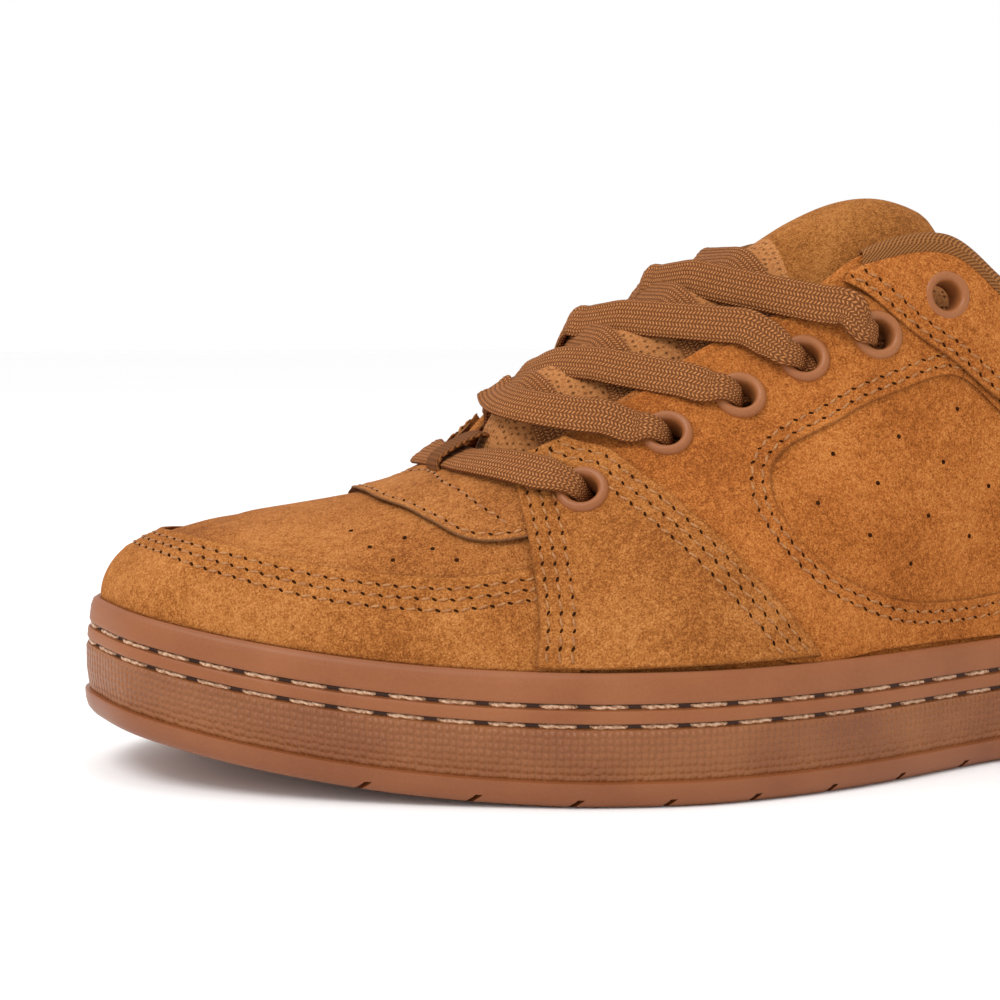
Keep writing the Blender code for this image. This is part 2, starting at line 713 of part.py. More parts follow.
def outside(point, trees, need):
    """The point moved out until it clears every surface by need, and the nearest outward direction."""
    best = None
    for tree in trees:
        spot, normal, _, distance = tree.find_nearest(Vector(point))
        gap = (Vector(point) - spot).dot(normal)
        if gap < 0 or distance < need:
            point = np.array(spot + normal * need)
            distance = need
        if best is None or distance < best[0]:
            best = (distance, np.array(normal))
    return point, best[1]


def height_over(spots, trees):
    """The highest surface under each plan point, or well below the sole where there is none."""
    heights = []
    for x, y in spots:
        hits = [tree.ray_cast(Vector((x, y, 0.3)), Vector((0, 0, -1)))[0] for tree in trees]
        heights.append(max((hit.z for hit in hits if hit is not None), default=-1.0))
    return np.array(heights)


def pulled_tight(walked, heights):
    """The lowest line over all the heights that never sags: their upper hull."""
    kept = []
    for spot in zip(walked, heights):
        while len(kept) > 1:
            (a, b), (c, d) = kept[-2:]
            if (d - b) * (spot[0] - a) > (spot[1] - b) * (c - a):
                break
            kept.pop()
        kept.append(spot)
    return np.interp(walked, *np.array(kept).T)


def lean_of(normal, side):
    """How fast a plane with this normal climbs towards a level direction."""
    return -float(np.dot(normal[:2], side)) / max(float(normal[2]), 0.35)


def draped(start, normal, end, trees, need, count=11):
    """A strand's middle line and outward directions, laid over the tongue and one eyestay."""
    plan = np.linspace(start[:2], end[:2], count)
    along = (end[:2] - start[:2]) / np.linalg.norm(end[:2] - start[:2])
    side = np.array([-along[1], along[0]])
    half = LACE_WIDTH / 2
    wide = 1.4 * half
    leans = [lean_of(normal, side)]
    for share in (0.5, 1.0):
        spot = start[:2] + (end[:2] - start[:2]) * share
        near, far = height_over([spot + side * wide, spot - side * wide], trees[1:])
        leans.append((near - far) / (2 * wide))
    part = np.linspace(0, 1, count)
    tilt = np.interp(part, (0.0, 0.42, 1.0), leans)
    fine = np.linspace(0, 1, 3 * count - 2)
    track = start[:2] + np.outer(fine, end[:2] - start[:2])
    lean = np.interp(fine, part, tilt)
    base = np.full(len(fine), -1.0)
    for share in (-1.0, -0.6, -0.3, 0.0, 0.3, 0.6, 1.0):
        found = height_over(track + side * half * share, trees)
        base = np.maximum(base, found - lean * half * share)
    walked = np.linalg.norm(track - track[0], axis=1)
    slope = np.gradient(base, walked)
    raised = base + need * np.sqrt(1 + lean**2 + np.minimum(slope**2, 12))
    wide_base = np.maximum.reduce([raised, np.append(raised[1:], -1), np.append(-1, raised[:-1])])
    heights = pulled_tight(walked, wide_base)[::3]
    heights[0] = max(heights[0], start[2])
    line = np.column_stack([plan, heights])
    across = np.column_stack([np.tile(side, (count, 1)), tilt])
    ahead = np.gradient(line, axis=0)
    lifts = np.cross(ahead, across)
    return line, lifts / np.linalg.norm(lifts, axis=1)[:, None]


def across_of(line, lifts, k):
    """The sideways direction of a lace at one of its points."""
    ahead = line[min(k + 1, len(line) - 1)] - line[max(k - 1, 0)]
    across = np.cross(ahead, lifts[k])
    return across / np.linalg.norm(across)


def taut(spots, trees, need, count=17):
    """A lace's middle line pulled tight over the surfaces, through the first and last of the spots."""
    line = smooth_line(spots, count)
    for turn in range(126):
        lifts = np.array([outside(point, trees, need)[1] for point in line])
        for _ in range(4):
            lifts[1:-1] = 0.4 * lifts[1:-1] + 0.3 * (lifts[:-2] + lifts[2:])
        lifts /= np.linalg.norm(lifts, axis=1)[:, None]
        if turn < 120:
            line[1:-1] = 0.5 * line[1:-1] + 0.25 * (line[:-2] + line[2:])
        for k in range(0 if turn > 120 else 1, count if turn > 120 else count - 1):
            side = across_of(line, lifts, k) * LACE_WIDTH / 2
            for share in (-1, -0.5, 0, 0.5, 1):
                spot = line[k] + side * share
                line[k] = line[k] + outside(spot, trees, need)[0] - spot
    return line, lifts


def ribbon(name, line, lifts, colour):
    """A flat lace along a line, with its faces turned to the lifts."""
    rings = []
    for number, point in enumerate(line):
        ahead = line[min(number + 1, len(line) - 1)] - line[max(number - 1, 0)]
        across = across_of(line, lifts, number)
        lift = np.cross(across, ahead)
        lift /= np.linalg.norm(lift)
        half, thin = LACE_WIDTH / 2, LACE_THICK / 2
        shape = ((-half, -thin), (half, -thin), (half, thin), (-half, thin))
        rings.append([point + across * a + lift * b for a, b in shape])
    return surface_object(name, rings, False, colour, 0.85)


def lace_spots(number, side, other):
    """Where a strand leaves its eyelet, crosses the throat's edge and meets the far edge."""
    frames = {eyelet.name: eyelet for eyelet in EYELETS}
    near = frames[f"eyelet_{side}_{number}"]
    far = frames[f"eyelet_{other}_{max(number - 1, 1)}"]
    centre, _, upward, outward = frame_at(near.section, near.rise, near.lift * PANEL_LIFT)
    near_edge = wall_path([near.section], (1.0,))[0][0][0]
    far_edge = wall_path([far.section], (1.0,))[0][0][0]
    toward = far_edge - centre
    toward -= outward * np.dot(toward, outward)
    toward /= np.linalg.norm(toward)
    start = centre + toward * (EYELET_WIDTH / 2 + LACE_AHEAD) + outward * (LACE_CLEAR + LACE_THICK / 2)
    return start, outward, near_edge, far_edge


def build_laces(trees):
    """The bar over the tongue's base and four crossings, each a pair of joined strands."""
    colour = (0.25, 0.10, 0.04)
    need = LACE_CLEAR + LACE_THICK / 2
    first = lace_spots(1, "lateral", "medial")[0]
    last = lace_spots(1, "medial", "lateral")[0]
    middle = np.array([place_along(0.7176), 0.0, 0.5608 * TONGUE_HEIGHT])
    line, lifts = taut([first, middle, last], trees, need + BAR_CLEAR)
    ribbon("lace_bar", line, lifts, colour)
    for number in (2, 3, 4, 5):
        strands = []
        for side, other in (("lateral", "medial"), ("medial", "lateral")):
            start, outward, near_edge, far_edge = lace_spots(number, side, other)
            inward = near_edge - far_edge
            inward[2] = 0.0
            inward /= np.linalg.norm(inward)
            strands.append(draped(start, outward, far_edge + inward * LACE_SHORT, trees, need))
        cross = ribbon(f"lace_cross_{number}", *strands[0], colour)
        under = ribbon(f"lace_under_{number}", *strands[1], colour)
        hide_shape(under)
        combine(cross, [under], "UNION")


def build_keeper(trees):
    """The webbing loop that holds the bar at the tongue's base."""
    shares = ((0.6993, 0.6078), (0.7076, 0.6235), (0.7176, 0.6000), (0.7276, 0.5608), (0.7292, 0.5412))
    spots = np.array([(place_along(along), up * TONGUE_HEIGHT) for along, up in shares])
    ahead = np.gradient(spots, axis=0)
    outward = np.column_stack([-ahead[:, 1], ahead[:, 0]]) / np.hypot(*ahead.T)[:, None]
    thick = spots + outward * KEEPER_THICK
    rings = []
    for y in (-KEEPER_WIDTH / 2 - KEEPER_ASIDE, KEEPER_WIDTH / 2 - KEEPER_ASIDE):
        outer = [(x, y, z) for x, z in thick]
        inner = [(x, y, z) for x, z in spots]
        rings.append(outer + inner[::-1])
    return surface_object("lace_keeper", rings, False, (0.30, 0.13, 0.06), 0.85)


shoe = bpy.data.collections.new("skateboarding_shoe")
helpers = bpy.data.collections.new("cutters")


def main():
    """Builds every piece of the shoe."""
    for found in list(bpy.data.objects):
        bpy.data.objects.remove(found, do_unlink=True)
    bpy.context.scene.collection.children.link(shoe)
    bpy.context.scene.collection.children.link(helpers)
    helpers.hide_render = True
    places = even_places(AROUND)
    build_cupsole(places)
    build_insole()
    upper = build_upper(places)
    build_panels(upper)
    build_eyelets(upper)
    tongue = build_tongue()
    trees = [surface_tree(upper), surface_tree(tongue)]
    build_laces(trees)
    build_keeper(trees)


main()
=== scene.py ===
"""Looks of a left skateboarding shoe: caramel suede panels, stitching, flat laces and a gum cupsole.

Metres, +X to the toe, +Y to the outer side, +Z up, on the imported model's own frame. Panels are laid on
the same lasted form as the solids, at places counted along the form's sections and shares of the
wall's way up, so each follows the wall that carries it.
"""

from __future__ import annotations

import logging
import math
from dataclasses import dataclass
from enum import Enum, IntEnum

import bpy
import numpy as np
from mathutils import Matrix, Vector
from mathutils.bvhtree import BVHTree

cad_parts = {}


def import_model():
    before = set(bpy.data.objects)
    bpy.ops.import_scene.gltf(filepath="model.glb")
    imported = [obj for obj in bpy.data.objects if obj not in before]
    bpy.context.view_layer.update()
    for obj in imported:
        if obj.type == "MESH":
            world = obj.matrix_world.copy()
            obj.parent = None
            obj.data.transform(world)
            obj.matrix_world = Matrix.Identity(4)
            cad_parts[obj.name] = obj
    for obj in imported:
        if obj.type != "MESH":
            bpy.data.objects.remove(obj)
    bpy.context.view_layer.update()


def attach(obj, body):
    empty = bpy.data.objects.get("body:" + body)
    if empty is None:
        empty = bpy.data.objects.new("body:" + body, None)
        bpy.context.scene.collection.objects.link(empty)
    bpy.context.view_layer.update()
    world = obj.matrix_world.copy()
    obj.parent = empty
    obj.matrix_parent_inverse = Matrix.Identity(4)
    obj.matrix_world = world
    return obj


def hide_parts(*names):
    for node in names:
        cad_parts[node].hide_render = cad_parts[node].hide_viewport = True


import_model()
LOG = logging.getLogger("shoe")
Array = np.ndarray
MM = 0.001
UV_UNIT = 10 * MM


class Side(Enum):
    """The two sides of the shoe."""

    LATERAL = "lateral"
    MEDIAL = "medial"


class Band(IntEnum):
    """The cup's finishes, by slot."""

    OUTSOLE = 0
    PEBBLED = 1
    FOXING = 2
    # Slot of the stitch grooves' near-black finish: painted shade in the recess.
    GROOVE = 3


@dataclass(frozen=True)
class ShoeSizes:
    """Sizes of the form, as on the solids."""

    length: float = 0.301
    ball_width: float = 0.115
    wall_height: float = 0.0276
    toe_spring: float = 0.0130
    spring_starts: float = 0.050
    arch_middle: float = -0.068
    arch_reach: float = 0.030
    arch_lift: float = 0.0010
    collar_height: float = 0.1175
    tongue_height: float = 0.1275
    cup_wall: float = 0.0046
    gap: float = 0.00035
    leather: float = 0.0022
    floor_fore: float = 0.0125
    floor_heel: float = 0.0170
    insole: float = 0.0040
    eyelet_width: float = 0.0114
    eyelet_hole: float = 0.0060
    lace_width: float = 0.0088
    lace_thick: float = 0.0017
    lip: float = 0.96
    slack: float = 0.0003


# Sections of the form from the heel back along the outer side to the toe and home along the inner
# side: along, side, open_along, open_side, open_height, in1, up1, in2, up2, rim.
SECTIONS = (
    (0.000, 0.048, 0.028, 0.042, 0.796, -0.70, 0.35, 0.10, 0.75, 3.6),
    (0.012, 0.178, 0.037, 0.112, 0.790, -0.60, 0.35, 0.12, 0.75, 3.6),
    (0.042, 0.282, 0.061, 0.177, 0.774, -0.30, 0.35, 0.30, 0.75, 3.6),
    (0.095, 0.350, 0.108, 0.234, 0.740, 0.00, 0.33, 0.50, 0.72, 3.6),
    (0.184, 0.386, 0.184, 0.275, 0.702, 0.05, 0.33, 0.60, 0.70, 3.6),
    (0.262, 0.388, 0.254, 0.283, 0.732, 0.08, 0.33, 0.62, 0.70, 3.6),
    (0.311, 0.390, 0.297, 0.275, 0.826, 0.10, 0.33, 0.64, 0.68, 3.2),
    (0.354, 0.402, 0.331, 0.264, 0.915, 0.12, 0.33, 0.66, 0.68, 2.6),
    (0.400, 0.436, 0.377, 0.247, 0.994, 0.15, 0.33, 0.68, 0.68, 2.0),
    (0.453, 0.480, 0.440, 0.226, 0.964, 0.14, 0.33, 0.66, 0.68, 1.5),
    (0.500, 0.510, 0.493, 0.198, 0.864, 0.12, 0.33, 0.60, 0.70, 1.2),
    (0.550, 0.530, 0.547, 0.180, 0.803, 0.10, 0.33, 0.56, 0.72, 1.2),
    (0.612, 0.534, 0.603, 0.174, 0.722, 0.09, 0.33, 0.56, 0.71, 1.2),
    (0.682, 0.497, 0.664, 0.170, 0.632, 0.08, 0.32, 0.57, 0.70, 1.2),
    (0.745, 0.436, 0.691, 0.143, 0.594, 0.03, 0.45, 0.55, 0.68, 1.2),
    (0.808, 0.366, 0.704, 0.113, 0.579, 0.00, 0.58, 0.55, 0.62, 1.2),
    (0.870, 0.284, 0.713, 0.083, 0.569, 0.00, 0.68, 0.56, 0.57, 1.2),
    (0.930, 0.185, 0.718, 0.052, 0.562, 0.00, 0.75, 0.57, 0.54, 1.2),
    (0.975, 0.075, 0.720, 0.022, 0.559, 0.00, 0.80, 0.58, 0.52, 1.2),
    (0.995, -0.040, 0.721, -0.004, 0.558, 0.00, 0.80, 0.58, 0.52, 1.2),
    (1.000, -0.125, 0.721, -0.030, 0.558, 0.00, 0.80, 0.58, 0.52, 1.2),
    (0.990, -0.215, 0.721, -0.057, 0.559, 0.00, 0.80, 0.58, 0.52, 1.2),
    (0.965, -0.300, 0.721, -0.083, 0.562, 0.00, 0.78, 0.58, 0.53, 1.2),
    (0.915, -0.385, 0.719, -0.109, 0.569, 0.00, 0.74, 0.57, 0.54, 1.2),
    (0.845, -0.440, 0.713, -0.136, 0.583, 0.00, 0.64, 0.55, 0.58, 1.2),
    (0.765, -0.462, 0.699, -0.160, 0.613, 0.03, 0.48, 0.55, 0.66, 1.2),
    (0.672, -0.450, 0.669, -0.183, 0.685, 0.06, 0.36, 0.56, 0.70, 1.2),
    (0.566, -0.416, 0.590, -0.191, 0.806, 0.10, 0.33, 0.56, 0.72, 1.2),
    (0.507, -0.394, 0.537, -0.213, 0.874, 0.12, 0.33, 0.58, 0.70, 1.2),
    (0.450, -0.376, 0.490, -0.239, 0.956, 0.14, 0.33, 0.64, 0.68, 1.5),
    (0.394, -0.361, 0.427, -0.257, 1.000, 0.15, 0.33, 0.64, 0.68, 2.0),
    (0.333, -0.348, 0.350, -0.261, 0.966, 0.12, 0.33, 0.60, 0.68, 2.6),
    (0.281, -0.336, 0.287, -0.252, 0.868, 0.10, 0.33, 0.60, 0.68, 3.2),
    (0.215, -0.322, 0.214, -0.226, 0.753, 0.06, 0.33, 0.60, 0.70, 3.6),
    (0.151, -0.302, 0.154, -0.196, 0.723, 0.04, 0.33, 0.58, 0.70, 3.6),
    (0.097, -0.272, 0.105, -0.152, 0.745, 0.00, 0.33, 0.50, 0.72, 3.6),
    (0.042, -0.190, 0.061, -0.091, 0.774, -0.30, 0.35, 0.30, 0.75, 3.6),
    (0.012, -0.078, 0.037, -0.028, 0.790, -0.60, 0.35, 0.12, 0.75, 3.6),
)

# The tongue from its sewn base to its padded end: along, height, half width, drop, thick.
TONGUE_STATIONS = (
    (0.748, 0.440, 0.120, 0.060, 0.022),
    (0.733, 0.458, 0.135, 0.075, 0.028),
    (0.717, 0.505, 0.155, 0.115, 0.040),
    (0.703, 0.590, 0.185, 0.195, 0.052),
    (0.684, 0.655, 0.205, 0.250, 0.060),
    (0.650, 0.702, 0.225, 0.290, 0.064),
    (0.600, 0.770, 0.235, 0.310, 0.066),
    (0.550, 0.836, 0.240, 0.320, 0.068),
    (0.500, 0.896, 0.240, 0.310, 0.072),
    (0.458, 0.954, 0.232, 0.300, 0.080),
    (0.420, 0.990, 0.222, 0.270, 0.088),
    (0.385, 0.999, 0.212, 0.240, 0.092),
    (0.352, 0.978, 0.205, 0.215, 0.080),
    (0.332, 0.940, 0.195, 0.195, 0.050),
)

# Shares of the cup's wall inset and height, from its lower edge to its lip.
SIDE_BANDS = (
    (0.60, 0.000),
    (0.32, 0.012),
    (0.12, 0.050),
    (0.02, 0.110),
    (0.00, 0.180),
    (0.03, 0.192),
    (0.21, 0.203),
    (0.20, 0.225),
    (0.10, 0.380),
    (0.11, 0.560),
    (0.18, 0.588),
    (0.40, 0.598),
    (0.42, 0.622),
    (0.20, 0.634),
    (0.17, 0.645),
    (0.22, 0.715),
    (0.27, 0.728),
    (0.52, 0.740),
    (0.53, 0.766),
    (0.33, 0.778),
    (0.29, 0.795),
    (0.38, 0.910),
    (0.50, 0.970),
    (0.68, 0.998),
    (0.86, 0.999),
    (1.00, 0.975),
)
# The sewn grooves: where the thread lies in each, and the share of the height that each spans.
GROOVE_LOW = (0.37, 0.610)
GROOVE_HIGH = (0.48, 0.753)
GROOVE_SPANS = ((0.590, 0.632), (0.734, 0.772))
LEDGE_UP = 0.203
PEBBLES_UP = 0.60

# Where the tread grooves cross the middle line, in metres.
TREADS = (
    *(-0.125, -0.1065, -0.088, -0.0695, -0.051, -0.0325, -0.0135),
    *(0.005, 0.0235, 0.042, 0.0604, 0.0798, 0.1007),
)

# Eyelets: place among the sections, share of the wall's way up, step of the panel below in mm.
EYELETS = {
    Side.LATERAL: (
        (12.95, 0.723, 1.26),
        (11.94, 0.792, 0.0),
        (10.95, 0.797, 0.0),
        (9.96, 0.837, 0.0),
        (8.90, 0.791, 0.0),
        (8.01, 0.868, 0.9),
    ),
    Side.MEDIAL: (
        (25.52, 0.740, 1.26),
        (26.25, 0.800, 0.0),
        (26.95, 0.800, 0.0),
        (27.95, 0.810, 0.0),
        (29.05, 0.780, 0.0),
        (30.05, 0.860, 0.9),
    ),
}

# Edges and seams on the wall, as (place, rise) points.
RAND_TOP = (
    (13.20, 0.46),
    (13.72, 0.43),
    (14.30, 0.385),
    (14.80, 0.350),
    (16.00, 0.330),
    (17.30, 0.348),
    (19.00, 0.350),
    (20.60, 0.335),
    (22.00, 0.330),
    (23.60, 0.335),
    (24.60, 0.370),
    (25.15, 0.430),
    (25.60, 0.460),
)
FRONT_SEAM = {
    Side.LATERAL: (
        (13.66, 0.03),
        (13.64, 0.22),
        (13.71, 0.43),
        (13.82, 0.61),
        (14.02, 0.82),
        (14.14, 0.975),
    ),
    Side.MEDIAL: (
        (25.18, 0.03),
        (25.18, 0.22),
        (25.15, 0.43),
        (25.08, 0.60),
        (24.95, 0.80),
        (24.86, 0.975),
    ),
}
DIAGONAL = {
    Side.LATERAL: (
        (10.34, 0.03),
        (10.75, 0.14),
        (11.14, 0.25),
        (11.57, 0.40),
        (11.97, 0.55),
        (12.32, 0.70),
        (12.57, 0.83),
        (12.88, 0.92),
        (13.05, 0.975),
    ),
    Side.MEDIAL: (
        (27.65, 0.03),
        (27.30, 0.14),
        (27.00, 0.25),
        (26.68, 0.40),
        (26.38, 0.55),
        (26.12, 0.70),
        (25.95, 0.83),
        (25.75, 0.92),
        (25.66, 0.975),
    ),
}
SADDLE_EDGE = (
    (13.50, 0.60),
    (13.83, 0.56),
    (14.30, 0.54),
    (14.76, 0.56),
    (15.45, 0.65),
    (16.54, 0.74),
    (18.40, 0.785),
    (20.00, 0.790),
    (21.50, 0.780),
    (22.80, 0.740),
    (23.70, 0.650),
    (24.30, 0.560),
    (24.67, 0.540),
    (25.06, 0.560),
    (25.35, 0.600),
)
SADDLE_LINE = (
    (14.06, 0.620),
    (14.47, 0.700),
    (15.56, 0.840),
    (17.20, 0.915),
    (18.72, 0.935),
    (20.40, 0.935),
    (22.00, 0.910),
    (23.60, 0.840),
    (24.50, 0.700),
    (24.84, 0.620),
)
COLLAR_SEAM = (
    (-8.92, 0.970),
    (-8.62, 0.890),
    (-8.30, 0.815),
    (-7.92, 0.755),
    (-7.50, 0.715),
    (-7.00, 0.690),
    (-6.40, 0.685),
    (-5.40, 0.665),
    (-4.00, 0.640),
    (-2.00, 0.620),
    (0.00, 0.610),
    (2.00, 0.620),
    (4.00, 0.640),
    (5.50, 0.665),
    (6.80, 0.685),
    (7.40, 0.690),
    (7.95, 0.715),
    (8.33, 0.755),
    (8.65, 0.815),
    (8.96, 0.890),
    (9.32, 0.970),
)

# Each window's edge, and for each of its points the quarter's outer edge on the same line.
WINDOW = {
    Side.LATERAL: (
        (7.69, 0.680),
        (8.62, 0.640),
        (9.39, 0.625),
        (10.20, 0.620),
        (10.68, 0.570),
        (10.76, 0.480),
        (10.58, 0.390),
        (10.22, 0.300),
        (9.64, 0.210),
        (8.72, 0.135),
        (7.79, 0.120),
        (6.72, 0.150),
        (5.60, 0.220),
        (5.20, 0.330),
        (5.30, 0.460),
        (5.90, 0.570),
        (6.80, 0.650),
    ),
    Side.MEDIAL: (
        (-7.30, 0.680),
        (-8.00, 0.640),
        (-8.80, 0.625),
        (-9.70, 0.620),
        (-10.35, 0.570),
        (-10.45, 0.480),
        (-10.30, 0.390),
        (-9.90, 0.300),
        (-9.20, 0.210),
        (-8.30, 0.135),
        (-7.40, 0.120),
        (-6.60, 0.150),
        (-5.80, 0.220),
        (-5.45, 0.330),
        (-5.50, 0.460),
        (-5.90, 0.570),
        (-6.50, 0.650),
    ),
}
QUARTER_EDGE = {
    Side.LATERAL: (
        (7.60, 0.730),
        (8.72, 0.860),
        (9.60, 0.975),
        (11.20, 0.975),
        (13.02, 0.970),
        (12.75, 0.760),
        (12.25, 0.480),
        (11.60, 0.220),
        (10.90, 0.020),
        (9.00, 0.020),
        (7.80, 0.020),
        (6.00, 0.020),
        (0.35, 0.020),
        (0.10, 0.260),
        (0.10, 0.480),
        (0.80, 0.640),
        (6.00, 0.700),
    ),
    Side.MEDIAL: (
        (-7.20, 0.730),
        (-8.40, 0.860),
        (-9.20, 0.975),
        (-10.70, 0.975),
        (-12.30, 0.970),
        (-12.10, 0.760),
        (-11.70, 0.480),
        (-11.10, 0.220),
        (-10.50, 0.020),
        (-8.90, 0.020),
        (-7.50, 0.020),
        (-5.80, 0.020),
        (-0.35, 0.020),
        (-0.10, 0.260),
        (-0.10, 0.480),
        (-0.80, 0.640),
        (-5.60, 0.700),
    ),
}

# Punched holes, as (place, rise) points.
PERFORATIONS = {
    Side.LATERAL: (
        (7.73, 0.60),
        (8.66, 0.53),
        (9.72, 0.55),
        (7.97, 0.46),
        (9.02, 0.43),
        (10.06, 0.44),
        (7.07, 0.44),
        (8.23, 0.33),
        (9.21, 0.31),
        (7.44, 0.29),
        (8.52, 0.22),
        (6.70, 0.56),
        (6.30, 0.34),
    ),
    Side.MEDIAL: (
        (-7.30, 0.60),
        (-8.10, 0.53),
        (-9.20, 0.55),
        (-7.50, 0.46),
        (-8.50, 0.43),
        (-9.60, 0.44),
        (-6.80, 0.44),
        (-7.80, 0.33),
        (-8.80, 0.31),
        (-7.10, 0.29),
        (-8.10, 0.22),
        (-6.50, 0.56),
        (-6.20, 0.34),
    ),
}
VAMP_HOLES = (
    (16.53, 0.57),
    (15.61, 0.56),
    (15.94, 0.49),
    (15.06, 0.50),
    (15.45, 0.42),
    (14.67, 0.45),
    (22.30, 0.57),
    (23.35, 0.56),
    (23.00, 0.49),
    (23.90, 0.50),
    (23.55, 0.42),
    (24.35, 0.45),
)

# Creases set on the wall: (place, rise) points, depth and half width in metres.
CREASES = (
    (((16.4, 0.44), (15.6, 0.52), (15.0, 0.60)), 0.45 * MM, 3.2 * MM),
    (((23.0, 0.44), (23.6, 0.52), (24.2, 0.60)), 0.45 * MM, 3.2 * MM),
    (((13.4, 0.20), (12.9, 0.38), (12.7, 0.56)), 0.55 * MM, 4.5 * MM),
    (((11.2, 0.60), (10.9, 0.70), (10.2, 0.72)), 0.40 * MM, 3.5 * MM),
    (((25.5, 0.20), (25.9, 0.38), (26.0, 0.56)), 0.55 * MM, 4.5 * MM),
    (((4.6, 0.30), (3.6, 0.42), (3.0, 0.56)), 0.50 * MM, 5.0 * MM),
    (((33.6, 0.30), (34.4, 0.42), (35.0, 0.56)), 0.50 * MM, 5.0 * MM),
    (((17.6, 0.52), (20.0, 0.50), (22.4, 0.52)), 0.35 * MM, 4.0 * MM),
)


def linear(code: str) -> tuple[float, float, float, float]:
    """An sRGB hex colour as linear values.

    Args:
        code: Six hex digits, with or without a leading #.

    Returns:
        Red, green, blue and an alpha of 1, linear.
    """
    code = code.lstrip("#")
    values = []
    for k in (0, 2, 4):
        share = int(code[k : k + 2], 16) / 255
        values.append(share / 12.92 if share <= 0.04045 else ((share + 0.055) / 1.055) ** 2.4)
    return values[0], values[1], values[2], 1.0


def unit(rows: Array) -> Array:
    """Each row scaled to a length of 1."""
    return rows / np.linalg.norm(rows, axis=1)[:, None]


def walk(line: Array) -> Array:
    """How far along a line each of its points is."""
    return np.concatenate([[0], np.cumsum(np.linalg.norm(np.diff(line, axis=0), axis=1))])


def through(before: Array, here: Array, after: Array, beyond: Array, part: Array) -> Array:
    """Points from here to after, on a smooth curve through all four."""
    return 0.5 * (
        2 * here
        + (after - before) * part
        + (2 * before - 5 * here + 4 * after - beyond) * part**2
        + (3 * here - before - 3 * after + beyond) * part**3
    )


def closed_curve(rows: Array, places: Array) -> Array:
    """Closed rows, smoothed, at fractional places.

    Args:
        rows: One row of values for each whole place.
        places: Fractional places among the rows.

    Returns:
        One smoothed row for each place.
    """
    low = np.floor(places).astype(int)
    part = (places - low)[:, None]
    before, here, after, beyond = (rows[(low + k) % len(rows)] for k in (-1, 0, 1, 2))
    return through(before, here, after, beyond, part)


